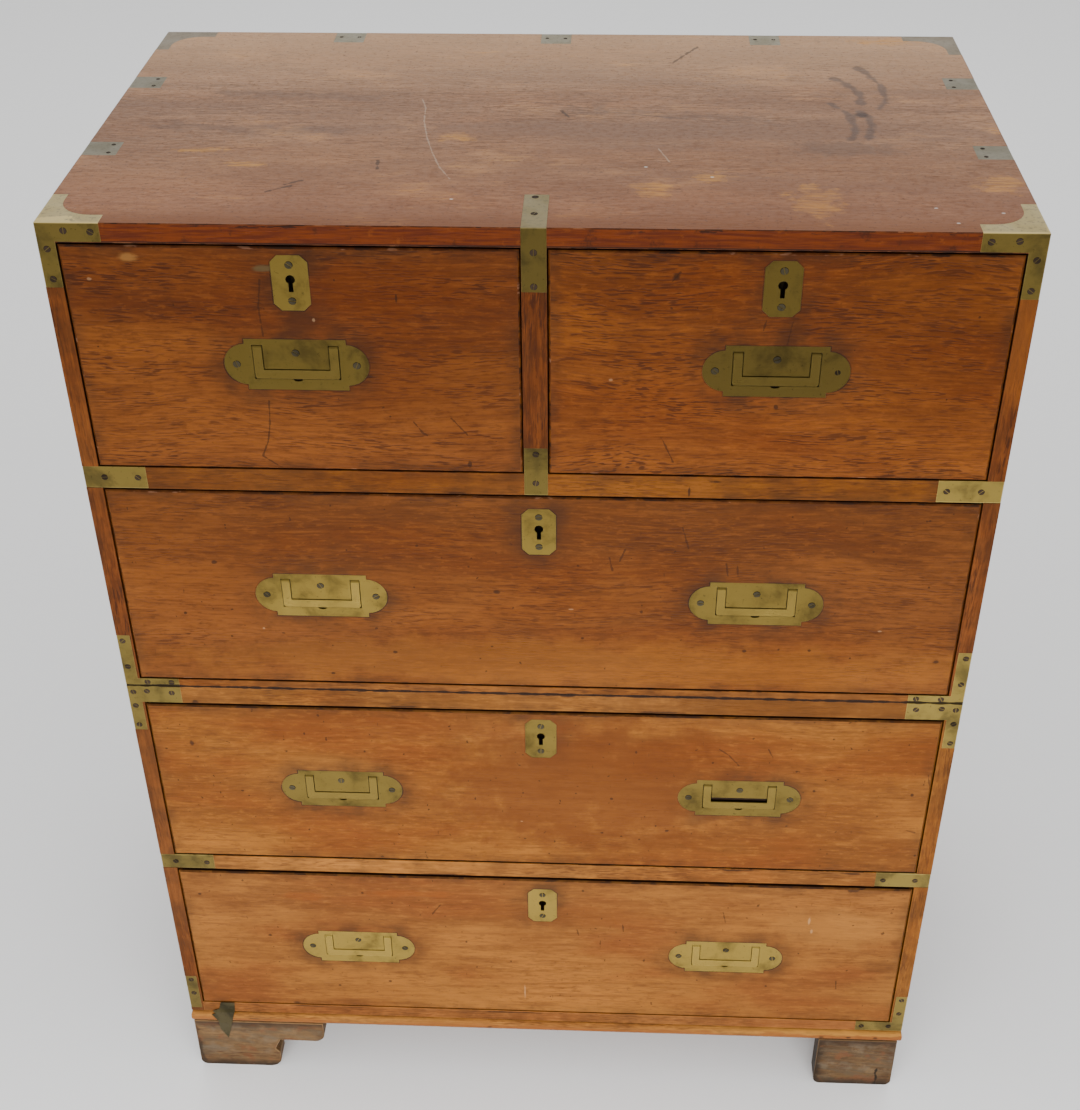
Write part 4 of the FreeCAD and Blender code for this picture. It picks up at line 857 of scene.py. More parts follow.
def eased_piece(node, name, width, inner_share=1.0, shortest=0.0014, segments=2, reshape=None):
    """Fine bevels on all but the shortest edges; edges inside the node's box get a share of the width."""
    low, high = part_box(node)
    mesh = merged_copy(node)
    if reshape is not None:
        reshape(mesh)
    weight = mesh.edges.layers.float.new("bevel_weight_edge")
    for edge in mesh.edges:
        if is_sharp(edge) and edge.calc_length() > shortest:
            edge[weight] = 1.0 if sides_met(edge.verts, low, high, TOUCHING) == 2 else inner_share
        elif is_sharp(edge):
            edge.smooth = False
    return bevelled(plain_object(name, mesh), width, segments)


def take_over(item, node, finishes):
    """The finished piece stands for its node, on the node's body. The second finish is for its bevels."""
    for index, finish in enumerate(finishes):
        item.data.materials[index] = finish
    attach(item, nodes[node]["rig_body"])
    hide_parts(node)


slots = {entry["node"]: entry["material_slot"] for entry in frame["record"]["subparts"]}
print("slots:", sorted(set(slots.values())))

# %% [markdown]
# ## Drawers
# Each front is one board with its own run of grain. The brass let into it is measured from the frame, so that
# dirt gathers exactly round the plates.

# %% Drawer fronts
# How far the top of a bail lies above the middle of its plate.
BAIL_RISE = 0.0173
SCUTCHEON_THICK = 0.0016
NEAR = 1e-4
FRONT_EASING, FACE_DEPTH = 0.0005, 0.0002
# The tone of each drawer's front, and which part of the tree it comes from.
DRAWERS = {"short_left_drawer": ("front", 1.0), "short_right_drawer": ("right_front", 2.0),
           "upper_long_drawer": ("middle", 3.0), "middle_long_drawer": ("golden", 4.0),
           "lowest_long_drawer": ("honey", 5.0)}


def handle_middle(bail):
    """The middle of a handle's plate, from the box of its bail."""
    low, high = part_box(bail)
    return Vector(((low.x + high.x) / 2, low.y, high.z - BAIL_RISE))


def scutcheon_middle(drawer):
    """The middle of the keyhole plate: its points lie at the drawer's own middle, above the handles."""
    low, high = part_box(drawer + "_front")
    centre = (low.x + high.x) / 2
    handle_top = handles[drawer][0].z + PLATE_HALF.z + NEAR
    found = [corner.co.z for corner in nodes[drawer + "_fittings"].data.vertices
             if abs(corner.co.x - centre) < SCUTCHEON_HALF.x + NEAR and corner.co.z > handle_top
             and corner.co.y < low.y + SCUTCHEON_THICK + NEAR]
    return Vector((centre, low.y, (min(found) + max(found)) / 2))


# %% [markdown]
# Each front has its own history. Cracks, dents and drips are lines and ovals given in metres on the front
# face; everything is measured on flat coordinates, so a mark goes straight into the board.

# %% The marks on the drawer fronts
CRACKS = {
    "short_left_drawer": (((-0.220, 0.991), (-0.2235, 0.968), (-0.2225, 0.940)),
                          ((-0.224, 0.880), (-0.2255, 0.858), (-0.229, 0.840), (-0.235, 0.826),
                           (-0.217, 0.813)),
                          ((-0.072, 0.866), (-0.059, 0.850)),
                          ((-0.104, 0.862), (-0.097, 0.852), (-0.093, 0.849))),
    "short_right_drawer": (((0.204, 0.960), (0.201, 0.940)), ((0.183, 0.961), (0.181, 0.952)),
                           ((0.103, 0.851), (0.114, 0.827)), ((0.113, 1.002), (0.107, 0.994))),
    "upper_long_drawer": (((0.125, 0.760), (0.131, 0.738)), ((0.062, 0.726), (0.065, 0.712)),
                          ((0.076, 0.736), (0.071, 0.722)), ((0.165, 0.722), (0.167, 0.709)),
                          ((0.175, 0.719), (0.176, 0.708))),
    "middle_long_drawer": (((0.171, 0.503), (0.181, 0.495), (0.191, 0.482)), ((0.218, 0.504), (0.223, 0.493)),
                           ((0.373, 0.476), (0.376, 0.462)), ((0.361, 0.401), (0.370, 0.398))),
    "lowest_long_drawer": (((-0.116, 0.261), (-0.107, 0.275)), ((0.188, 0.275), (0.191, 0.260)),
                           ((0.036, 0.243), (0.038, 0.234)), ((0.084, 0.252), (0.085, 0.242)),
                           ((0.061, 0.227), (0.061, 0.217)), ((0.314, 0.173), (0.315, 0.161))),
}
DENTS = {
    "short_left_drawer": ((-0.112, 0.976, 0.0010, 0.0040), (-0.058, 0.821, 0.0016, 0.0040),
                          (-0.145, 0.905, 0.0100, 0.0020)),
    "short_right_drawer": ((0.110, 0.998, 0.0034, 0.0034), (0.196, 0.882, 0.0020, 0.0020)),
    "upper_long_drawer": ((-0.291, 0.713, 0.0026, 0.0022), (-0.325, 0.655, 0.0016, 0.0016),
                          (-0.134, 0.614, 0.0022, 0.0018), (-0.038, 0.686, 0.0030, 0.0020),
                          (-0.194, 0.587, 0.0024, 0.0016), (0.039, 0.635, 0.0018, 0.0016),
                          (0.187, 0.624, 0.0020, 0.0018), (0.246, 0.626, 0.0018, 0.0016),
                          (0.362, 0.616, 0.0030, 0.0022), (0.380, 0.711, 0.0012, 0.0030)),
    "middle_long_drawer": ((0.361, 0.449, 0.0016, 0.0024), (0.374, 0.366, 0.0016, 0.0016),
                           (0.069, 0.434, 0.0018, 0.0018), (0.266, 0.451, 0.0016, 0.0020),
                           (0.125, 0.392, 0.0020, 0.0014), (0.048, 0.5415, 0.0190, 0.0018),
                           (-0.250, 0.5418, 0.0300, 0.0010), (-0.340, 0.4950, 0.0024, 0.0034)),
    "lowest_long_drawer": ((-0.360, 0.282, 0.0020, 0.0016), (-0.188, 0.290, 0.0016, 0.0016),
                           (-0.292, 0.221, 0.0022, 0.0018), (-0.167, 0.152, 0.0018, 0.0016),
                           (-0.223, 0.143, 0.0016, 0.0016), (-0.273, 0.112, 0.0040, 0.0024),
                           (0.042, 0.302, 0.0016, 0.0016), (0.240, 0.162, 0.0016, 0.0014),
                           (0.318, 0.3135, 0.0060, 0.0030)),
}
PALE_MARKS = {
    "short_left_drawer": ((-0.357, 0.990, 0.0018, 0.0012), (-0.180, 0.956, 0.0012, 0.0016)),
    "short_right_drawer": ((0.060, 0.905, 0.0016, 0.0012),),
    "upper_long_drawer": ((-0.254, 0.639, 0.0012, 0.0010), (0.028, 0.668, 0.0026, 0.0008),
                          (0.307, 0.650, 0.0020, 0.0010)),
    "middle_long_drawer": ((-0.020, 0.400, 0.0014, 0.0008),),
    "lowest_long_drawer": ((0.2775, 0.266, 0.0012, 0.0060), (0.2810, 0.250, 0.0014, 0.0034),
                           (-0.020, 0.142, 0.0007, 0.0110)),
}
# Soft clouds: where, how large, how strongly, and their colour.
CLOUDS = {
    "short_left_drawer": ((-0.323, 1.009, 0.0100, 0.0050, 0.55, (0.250, 0.120, 0.030)),
                          (-0.216, 1.001, 0.0100, 0.0034, 0.80, (0.075, 0.052, 0.020)),
                          (-0.080, 0.905, 0.0900, 0.0600, 0.26, (0.070, 0.015, 0.001)),
                          (-0.130, 0.985, 0.0700, 0.0260, 0.30, (0.085, 0.016, 0.001))),
    "short_right_drawer": ((0.320, 0.930, 0.0600, 0.0900, 0.20, (0.080, 0.018, 0.001)),),
    "upper_long_drawer": ((-0.300, 0.700, 0.0800, 0.0600, 0.22, (0.080, 0.018, 0.001)),
                          (0.050, 0.603, 0.4200, 0.0300, 0.26, (0.230, 0.082, 0.008))),
    "middle_long_drawer": ((0.040, 0.450, 0.1500, 0.0900, 0.72, (0.084, 0.021, 0.002)),
                           (0.340, 0.505, 0.0500, 0.0260, 0.25, (0.110, 0.030, 0.003)),
                           (-0.150, 0.520, 0.1600, 0.0140, 0.22, (0.110, 0.026, 0.003))),
    "lowest_long_drawer": ((0.358, 0.198, 0.0200, 0.0110, 0.45, (0.060, 0.020, 0.004)),
                           (-0.255, 0.283, 0.0340, 0.0060, 0.40, (0.150, 0.034, 0.003)),
                           (-0.135, 0.291, 0.0440, 0.0060, 0.40, (0.150, 0.034, 0.003)),
                           (0.310, 0.255, 0.0700, 0.0300, 0.30, (0.250, 0.105, 0.020)),
                           (0.015, 0.265, 0.1100, 0.0160, 0.28, (0.120, 0.034, 0.004))),
}
DEEP_CRACK = (0.022, 0.008, 0.003)
SCUFFED = (0.400, 0.250, 0.130)
CRACK_WIDTH = 0.0010
# From which value of a fine noise on the front is specked; it is lower where there are more specks.
SPECK_START = {"short_left_drawer": 0.775, "short_right_drawer": 0.775, "upper_long_drawer": 0.750,
               "middle_long_drawer": 0.730, "lowest_long_drawer": 0.740}


print("marks:", sum(len(lines) for lines in CRACKS.values()), "cracks,",
      sum(len(ovals) for ovals in DENTS.values()), "dents")


def soft_cloud(recipe, flat, x, z, half_x, half_z):
    return spots(recipe, flat, [oval(x, z, half_x, half_z)], ragged=0.55, scale=30.0)


def front_marks(drawer):
    """The marks of one drawer's front, for its wood."""
    def marks(recipe, colour, rough):
        flat = recipe.vector("MULTIPLY", recipe.place, (1.0, 0.0, 1.0))
        for *where, strength, tint in CLOUDS[drawer]:
            cloud = soft_cloud(recipe, flat, *where)
            colour = recipe.mix(recipe.times(cloud, strength), colour, tint)
        lines = [[(x, 0.0, z) for x, z in points] for points in CRACKS[drawer]]
        colour = recipe.mix(recipe.times(strokes(recipe, flat, lines, CRACK_WIDTH), 0.62), colour, DEEP_CRACK)
        ovals = [oval(*dent) for dent in DENTS[drawer]]
        colour = recipe.mix(recipe.times(spots(recipe, flat, ovals), 0.78), colour, DEEP_CRACK)
        ovals = [oval(*mark) for mark in PALE_MARKS[drawer]]
        colour = recipe.mix(recipe.times(spots(recipe, flat, ovals), 0.32), colour, SCUFFED)
        start = SPECK_START[drawer]
        specks = recipe.noise(recipe.place, scale=190.0, detail=1.0)
        colour = recipe.glaze(colour, specks, start, start + 0.05, 0.70, DEEP_CRACK)
        ticks = recipe.noise(recipe.vector("MULTIPLY", recipe.place, (330.0, 330.0, 70.0)), detail=1.0)
        colour = recipe.glaze(colour, ticks, start - 0.01, start + 0.06, 0.36, DEEP_CRACK)
        return colour, rough

    return marks


# %% [markdown]
# Now each front gets its wood, its marks and its eased arrises. The fronts have a small chamfer all round,
# which is where most of the scuffs show.

# %% The fronts
handles = {}
scutcheons = {}
for drawer, (tone, seed) in DRAWERS.items():
    bails = sorted(node for node in nodes if node.startswith(drawer) and node.endswith("_bail"))
    handles[drawer] = [handle_middle(bail) for bail in bails]
    scutcheons[drawer] = scutcheon_middle(drawer)
    plates = [(from_handle_plate, spot) for spot in handles[drawer]]
    plates.append((from_keyhole_plate, scutcheons[drawer]))
    node = drawer + "_front"
    finish = waxed_wood(drawer + "_wood", tone, seed=seed, box=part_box(node), plates=plates,
                        gap_face=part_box(node)[0].y + FACE_DEPTH, marks=front_marks(drawer))
    board = eased_board(node, drawer + "_front_board", FRONT_EASING, chamfered=True)
    take_over(board, node, [finish, arrises[tone]])
    print(drawer, "handles at", [tuple(round(part, 4) for part in spot) for spot in handles[drawer]])

# %% [markdown]
# Boxes, runners and backs were never waxed. They keep their plain shapes, because hardly anybody sees them,
# and get the same wood in a pale, matt tone.

# %% Drawer boxes and other bare wood
BARE_SEED = 20.0
for index, node in enumerate(sorted(nodes)):
    if slots[node] == "pale_wood":
        tone = "old_back" if "back_board" in node else "pale"
        grain = "Y" if "box" in node else "X"
        finish = waxed_wood(node + "_wood", tone, grain=grain, seed=BARE_SEED + index, gloss=0.55)
        nodes[node].data.materials.clear()
        nodes[node].data.materials.append(finish)
        print(node, tone)

# %% [markdown]
# ## Case boards
# The sides and the divider between the short drawers stand with their grain upright. All other boards lie
# with it from side to side. The top has had the hardest life: it is faded and hazy, and it has a long crack,
# pale scratches, dents, rings where wet things stood, and yellow patches where the haze is rubbed off. Part of
# its haze is painted sheen, paler and greyer towards the back.

# %% The marks on the top
# Lines are rows of points, specks are points and yellow patches are (middle, half sizes), all in metres.
LID_STREAKS = (((-0.346, -0.024), (-0.185, -0.036)), ((0.020, 0.022), (0.190, 0.002)),
               ((-0.300, 0.060), (-0.160, 0.050)))
LID_CRACK = ((-0.035, 0.044), (0.010, 0.036), (0.055, 0.018), (0.095, 0.008), (0.150, -0.004))
LID_SCRATCH = (((-0.116, 0.046), (-0.111, 0.025), (-0.109, -0.008), (-0.103, -0.045), (-0.095, -0.080),
                (-0.086, -0.112), (-0.075, -0.137)), ((0.097, -0.068), (0.106, -0.097)))
LID_RINGS = (((0.288, 0.138), (0.297, 0.118), (0.303, 0.095), (0.305, 0.061), (0.302, 0.045), (0.295, 0.031)),
             ((0.263, 0.108), (0.272, 0.096), (0.278, 0.081), (0.282, 0.062), (0.281, 0.043)),
             ((0.254, 0.040), (0.263, 0.026), (0.267, 0.013), (0.269, -0.016), (0.267, -0.030),
              (0.263, -0.042)),
             ((0.278, 0.023), (0.283, 0.008), (0.284, -0.009), (0.282, -0.025), (0.278, -0.039)))
LID_DENTS = (((-0.221, -0.166), (-0.204, -0.155)), ((-0.209, -0.152), (-0.196, -0.143)),
             ((0.114, 0.149), (0.139, 0.196)), ((0.011, 0.020), (0.019, 0.004)),
             ((-0.139, -0.100), (-0.137, -0.118)))
LID_SPECKS = ((0.313, -0.186), (0.326, -0.214), (0.364, -0.194), (0.086, -0.108), (-0.070, -0.178),
              (0.140, -0.128))
LID_YELLOWS = (((-0.292, -0.080), (0.022, 0.006)), ((-0.077, -0.046), (0.015, 0.010)),
               ((0.091, -0.155), (0.014, 0.018)), ((0.138, -0.130), (0.014, 0.010)),
               ((0.220, -0.176), (0.020, 0.032)), ((0.372, -0.136), (0.018, 0.018)),
               ((0.326, 0.216), (0.034, 0.010)), ((-0.250, -0.110), (0.020, 0.006)))


def lid_marks(recipe, colour, rough):
    """A hazy bloom over faded wood, partly painted sheen, and what stood, leaked and slid on it."""
    def spread(centre, half):
        return (*centre, 0.0), (*half, 1.0)

    def on_lid(points):
        return [(x, y, 0.0) for x, y in points]

    flat = recipe.vector("MULTIPLY", recipe.place, (1.0, 1.0, 0.0))
    bent = recipe.vector("ADD", flat, recipe.vector("MULTIPLY", recipe.scatter(flat, 3.0), (0.0, 0.050, 0.0)))
    clouds = recipe.noise(recipe.vector("MULTIPLY", flat, (6.0, 13.0, 1.0)), detail=5.0, roughness=0.65)
    bands = recipe.noise(recipe.vector("MULTIPLY", bent, (1.6, 15.0, 1.0)), detail=3.0, roughness=0.55)
    fine = recipe.noise(recipe.vector("MULTIPLY", flat, (150.0, 260.0, 1.0)), detail=3.0, roughness=0.7)
    hairs = recipe.noise(recipe.vector("MULTIPLY", bent, (24.0, 300.0, 1.0)), detail=3.0, roughness=0.65)
    colour = recipe.glaze(colour, bands, 0.48, 0.64, 0.72, (0.190, 0.098, 0.066))
    colour = recipe.glaze(colour, bands, 0.44, 0.32, 0.40, (0.420, 0.196, 0.098))
    colour = recipe.glaze(colour, clouds, 0.44, 0.64, 0.58, (0.200, 0.098, 0.060))
    colour = recipe.glaze(colour, clouds, 0.46, 0.32, 0.60, (0.470, 0.225, 0.105))
    colour = recipe.glaze(colour, hairs, 0.52, 0.66, 0.26, (0.190, 0.092, 0.056))
    colour = recipe.glaze(colour, hairs, 0.46, 0.32, 0.16, (0.440, 0.230, 0.120))
    colour = recipe.glaze(colour, fine, 0.54, 0.68, 0.46, (0.130, 0.062, 0.040))
    parts = recipe.axes()
    # Painted sheen: paler and greyer towards the back, warmer towards the front.
    back = recipe.ramp(parts["Y"], 0.02, 0.235, high=0.60)
    colour = recipe.mix(back, colour, (0.500, 0.280, 0.155))
    warm = recipe.ramp(parts["Y"], 0.02, -0.215, high=0.42)
    colour = recipe.mix(warm, colour, (0.255, 0.094, 0.036))
    front = recipe.times(recipe.ramp(parts["Y"], -0.196, -0.2300),
                         recipe.ramp(fine, 0.60, 0.40, low=0.45, high=0.85))
    colour = recipe.mix(front, colour, (0.190, 0.066, 0.022))
    pepper = recipe.noise(flat, scale=330.0, detail=2.0, roughness=0.6)
    colour = recipe.glaze(colour, pepper, 0.60, 0.70, 0.62, (0.090, 0.040, 0.026))
    ticks = recipe.noise(recipe.vector("MULTIPLY", flat, (95.0, 330.0, 1.0)), detail=2.0, roughness=0.6)
    colour = recipe.glaze(colour, ticks, 0.64, 0.71, 0.62, (0.080, 0.036, 0.024))
    flecks = recipe.times(recipe.ramp(clouds, 0.46, 0.32), recipe.ramp(hairs, 0.45, 0.34, high=0.70))
    colour = recipe.mix(flecks, colour, (0.520, 0.230, 0.060))
    crack = strokes(recipe, flat, [on_lid(LID_CRACK)], 0.0016, scale=90.0)
    colour = recipe.mix(recipe.times(crack, 0.42), colour, (0.100, 0.060, 0.050))
    streaks = strokes(recipe, flat, [on_lid(points) for points in LID_STREAKS], 0.011, unsteady=0.8,
                      scale=60.0)
    colour = recipe.mix(recipe.times(streaks, 0.34), colour, (0.115, 0.066, 0.052))
    smear = spots(recipe, flat, [spread((0.256, -0.064), (0.050, 0.017))], ragged=0.5, scale=70.0)
    colour = recipe.mix(recipe.times(smear, 0.50), colour, (0.125, 0.070, 0.052))
    rings = strokes(recipe, flat, [on_lid(points) for points in LID_RINGS], 0.0058, unsteady=0.75, scale=48.0)
    colour = recipe.mix(recipe.times(rings, 0.66), colour, (0.088, 0.056, 0.048))
    blots = spots(recipe, flat, [spread((0.278, 0.015), (0.0060, 0.0066))], ragged=0.15)
    colour = recipe.mix(recipe.times(blots, 0.80), colour, (0.060, 0.036, 0.030))
    blots = spots(recipe, flat, [spread((0.045, 0.034), (0.0070, 0.0090))], ragged=0.3)
    colour = recipe.mix(recipe.times(blots, 0.35), colour, (0.120, 0.070, 0.052))
    worn = spots(recipe, flat, [spread(centre, half) for centre, half in LID_YELLOWS], ragged=0.85,
                 scale=65.0)
    worn = recipe.times(worn, recipe.ramp(hairs, 0.62, 0.38, low=0.10, high=0.70))
    colour = recipe.mix(worn, colour, (0.520, 0.225, 0.050))
    dents = strokes(recipe, flat, [on_lid(points) for points in LID_DENTS], 0.0019)
    colour = recipe.mix(recipe.times(dents, 0.75), colour, (0.055, 0.030, 0.020))
    scratch = strokes(recipe, flat, [on_lid(points) for points in LID_SCRATCH], 0.0009)
    colour = recipe.mix(recipe.times(scratch, 0.26), colour, (0.600, 0.450, 0.350))
    specks = spots(recipe, flat, [spread(centre, (0.0016, 0.0011)) for centre in LID_SPECKS], ragged=0.3,
                   scale=500.0)
    colour = recipe.mix(recipe.times(specks, 0.7), colour, (0.700, 0.640, 0.600))
    # More painted sheen: a paler, bluer tint behind the front edge.
    colour = recipe.mix(recipe.ramp(parts["Y"], -0.20, -0.09), colour,
                        recipe.tinted(colour, (1.08, 1.17, 1.14)))
    below = recipe.maths("SUBTRACT", CASE_TOP, parts["Z"])
    grain = recipe.noise(recipe.vector("MULTIPLY", recipe.place, (26.0, 26.0, 420.0)), detail=3.0,
                         roughness=0.6)
    edge = recipe.mix(recipe.ramp(grain, 0.36, 0.64), (0.128, 0.024, 0.001), (0.070, 0.011, 0.001))
    blotch = recipe.noise(recipe.place, scale=60.0, detail=4.0, roughness=0.7)
    edge = recipe.glaze(edge, blotch, 0.56, 0.70, 0.65, (0.026, 0.006, 0.001))
    edge = recipe.glaze(edge, blotch, 0.40, 0.30, 0.45, (0.190, 0.050, 0.004))
    chips = recipe.noise(recipe.vector("MULTIPLY", recipe.place, (38.0, 38.0, 160.0)), detail=4.0,
                         roughness=0.7)
    chips = recipe.times(recipe.ramp(chips, 0.54, 0.62, high=0.80), recipe.ramp(below, 0.0042, 0.0022))
    edge = recipe.mix(chips, edge, GRIME_AND_SHADE)
    # Painted shade on the lower arris of the front edge, over the gap above the drawers.
    edge = recipe.glaze(edge, below, 0.0146, 0.0160, 0.9, GRIME_AND_SHADE)
    colour = recipe.mix(recipe.ramp(below, 0.0002, 0.0008), colour, edge)
    rough = recipe.ramp(fine, 0.35, 0.65, low=0.42, high=0.58)
    return colour, rough


# %% [markdown]
# The other boards differ in tone and in how much sun they had. A chip is a dark oval on an arris; a cloud is
# a broad soft one on a front edge, and fades behind it so that it doesn't run round to the flank.

# %% Case boards
CASE_TONES = {"upper_left_side": "upright", "upper_right_side": "upright", "lower_left_side": "low_left",
              "lower_right_side": "low_right", "drawer_divider": "divider", "lower_top_board": "split_board",
              "lower_drawer_rail": "low_rail", "lower_bottom_board": "base_rail", "upper_top_board": "top",
              "lower_back_board": "low_rail", "upper_bottom_board": "under_board"}
# Chips along the arrises: x, z and half sizes.
BOARD_CHIPS = {
    "lower_drawer_rail": ((0.195, 0.3390, 0.0220, 0.0018), (0.312, 0.3385, 0.0110, 0.0016),
                          (-0.100, 0.3215, 0.0300, 0.0010)),
    "lower_top_board": ((0.0255, 0.5655, 0.0070, 0.0018), (-0.130, 0.5480, 0.0140, 0.0012),
                        (0.115, 0.5478, 0.0250, 0.0016), (-0.330, 0.5480, 0.0030, 0.0030)),
    "upper_drawer_rail": ((0.151, 0.8080, 0.0060, 0.0014), (0.129, 0.7970, 0.0012, 0.0060),
                          (-0.070, 0.7920, 0.0100, 0.0010)),
    "lower_bottom_board": ((-0.030, 0.1065, 0.0400, 0.0012), (-0.262, 0.1070, 0.0240, 0.0010)),
}
# Broad clouds on the boards' fronts: where, how large, how strongly, and their colour.
BOARD_CLOUDS = {
    "upper_left_side": ((-0.385, 0.840, 0.0500, 0.0500, 0.22, (0.205, 0.066, 0.011)),),
    "upper_right_side": ((0.385, 0.935, 0.0500, 0.0600, 0.42, (0.205, 0.062, 0.009)),),
    "lower_top_board": ((0.230, 0.556, 0.1400, 0.0200, 0.62, (0.088, 0.029, 0.004)),),
    "upper_drawer_rail": ((-0.250, 0.800, 0.2000, 0.0200, 0.20, (0.075, 0.022, 0.003)),),
    "lower_bottom_board": ((0.320, 0.100, 0.1300, 0.0200, 0.40, (0.155, 0.046, 0.010)),),
}
# The lower right side is sunned only along its front: behind, it is as dark as the other three.
SHADED_FLANK = {"lower_right_side": (0.70, 0.56, 0.62)}


def board_marks(node):
    """Broad clouds on a board's front, a darker flank behind it, and dark chips along its arrises."""
    def marks(recipe, colour, rough):
        flat = recipe.vector("MULTIPLY", recipe.place, (1.0, 0.0, 1.0))
        parts = recipe.axes()
        soft = recipe.noise(recipe.place, scale=30.0, detail=2.0)
        behind = recipe.maths("SUBTRACT", parts["Y"],
                              recipe.ramp(soft, 0.3, 0.7, low=CASE_FRONT, high=CASE_FRONT + 0.02))
        for *where, strength, tint in BOARD_CLOUDS.get(node, ()):
            cloud = soft_cloud(recipe, flat, *where)
            near = recipe.ramp(behind, 0.024, 0.002, high=strength)
            colour = recipe.mix(recipe.times(cloud, near), colour, tint)
        if node in SHADED_FLANK:
            shaded = recipe.tinted(colour, SHADED_FLANK[node])
            colour = recipe.mix(recipe.ramp(behind, 0.002, 0.034), colour, shaded)
        if node not in BOARD_CHIPS:
            return colour, rough
        ovals = [oval(*chip) for chip in BOARD_CHIPS[node]]
        chips = spots(recipe, flat, ovals, ragged=0.5, scale=90.0)
        return recipe.mix(recipe.times(chips, 0.80), colour, DEEP_CRACK), rough

    return marks


CASE_SEED = 40.0
BOARD_EASING = {"drawer_divider": 0.00015, "upper_top_board": 0.0009}
PLAIN_EASING = 0.0006
for index, node in enumerate(sorted(nodes)):
    if slots[node] in ("case_wood", "top_wood"):
        tone = CASE_TONES.get(node, "case")
        is_top = tone == "top"
        marks = lid_marks if is_top else board_marks(node)
        grain = "Z" if "side" in node or "divider" in node else "X"
        finish = waxed_wood(node + "_wood", tone, grain=grain, seed=CASE_SEED + index, box=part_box(node),
                            gap_face=CASE_FRONT, marks=marks, wear=0.0 if is_top else 1.0,
                            gloss=0.50, sheen=0.16 if is_top else 0.10)
        board = eased_board(node, node + "_board", BOARD_EASING.get(node, PLAIN_EASING))
        take_over(board, node, [finish, arrises["lid_edge" if is_top else tone]])
        print(node, tone, len(board.data.polygons), "faces")

# %% [markdown]
# ## Base moulding and feet
# The moulding is thin strips nailed under the case. The feet never had much wax: their wood has gone grey
# brown, with a grey that is partly painted sheen, painted shade on their flanks and under the moulding, a dark
# band at the floor and a split where a nail was driven.

# %% Base moulding and feet
FOOT_SPLIT = ((0.3735, -0.231, 0.001), (0.3745, -0.231, 0.012), (0.3725, -0.231, 0.019),
              (0.3738, -0.231, 0.028))
# Painted shade and dirt: the inner flank of the right foot, the outer arris of the left one.
RIGHT_FOOT_FLANK, LEFT_FOOT_ARRIS = (0.3135, 0.3055), (-0.3880, -0.3925)


def foot_marks(recipe, colour, rough):
    """Grey weathering in slanting streaks, grey that is partly painted sheen, painted shade on the flanks and
    at the top, a dark band at the floor, a split.
    """
    slant = recipe.step("ShaderNodeMapping", Vector=recipe.place, Rotation=(0.0, math.radians(-14), 0.0))
    streaks = recipe.noise(recipe.vector("MULTIPLY", slant.outputs["Vector"], (14.0, 60.0, 110.0)),
                           detail=4.0, roughness=0.65)
    cloud = recipe.noise(recipe.place, scale=34.0, detail=4.0, roughness=0.7)
    colour = recipe.glaze(colour, streaks, 0.44, 0.66, 0.70, (0.062, 0.044, 0.026))
    colour = recipe.glaze(colour, cloud, 0.54, 0.72, 0.40, (0.175, 0.108, 0.052))
    colour = recipe.glaze(colour, cloud, 0.44, 0.32, 0.60, (0.050, 0.024, 0.012))
    parts = recipe.axes()
    height = parts["Z"]
    red = recipe.noise(recipe.place, scale=52.0, detail=3.0)
    colour = recipe.glaze(colour, red, 0.54, 0.66, 0.55, (0.110, 0.040, 0.016))
    # Grey patches, partly weathering and partly a painted sheen.
    grey = recipe.times(recipe.ramp(red, 0.50, 0.34, high=0.38), recipe.ramp(height, 0.012, 0.030))
    colour = recipe.mix(grey, colour, (0.118, 0.090, 0.060))
    wavy = recipe.maths("ADD", parts["X"], recipe.ramp(cloud, 0.35, 0.65, low=-0.003, high=0.003))
    # Painted shade on the inner flank of the right foot and the outer arris of the left one.
    flank = recipe.times(recipe.ramp(wavy, *RIGHT_FOOT_FLANK), recipe.ramp(wavy, 0.0, 0.01, high=0.88))
    flank = recipe.maths("MAXIMUM", flank, recipe.ramp(wavy, *LEFT_FOOT_ARRIS, high=0.70))
    colour = recipe.mix(flank, colour, (0.016, 0.011, 0.007))
    # Darker near the floor.
    dark_at_floor = recipe.times(recipe.ramp(height, 0.013, 0.002),
                        recipe.ramp(cloud, 0.35, 0.60, low=0.55, high=0.95))
    colour = recipe.mix(dark_at_floor, colour, (0.022, 0.015, 0.010))
    # Painted shade under the moulding, at the top of the feet.
    colour = recipe.glaze(colour, height, 0.064, 0.075, 0.78, (0.030, 0.018, 0.011))
    colour = recipe.mix(recipe.times(strokes(recipe, recipe.place, [FOOT_SPLIT], 0.0016), 0.95), colour,
                        (0.012, 0.008, 0.005))
    return colour, rough


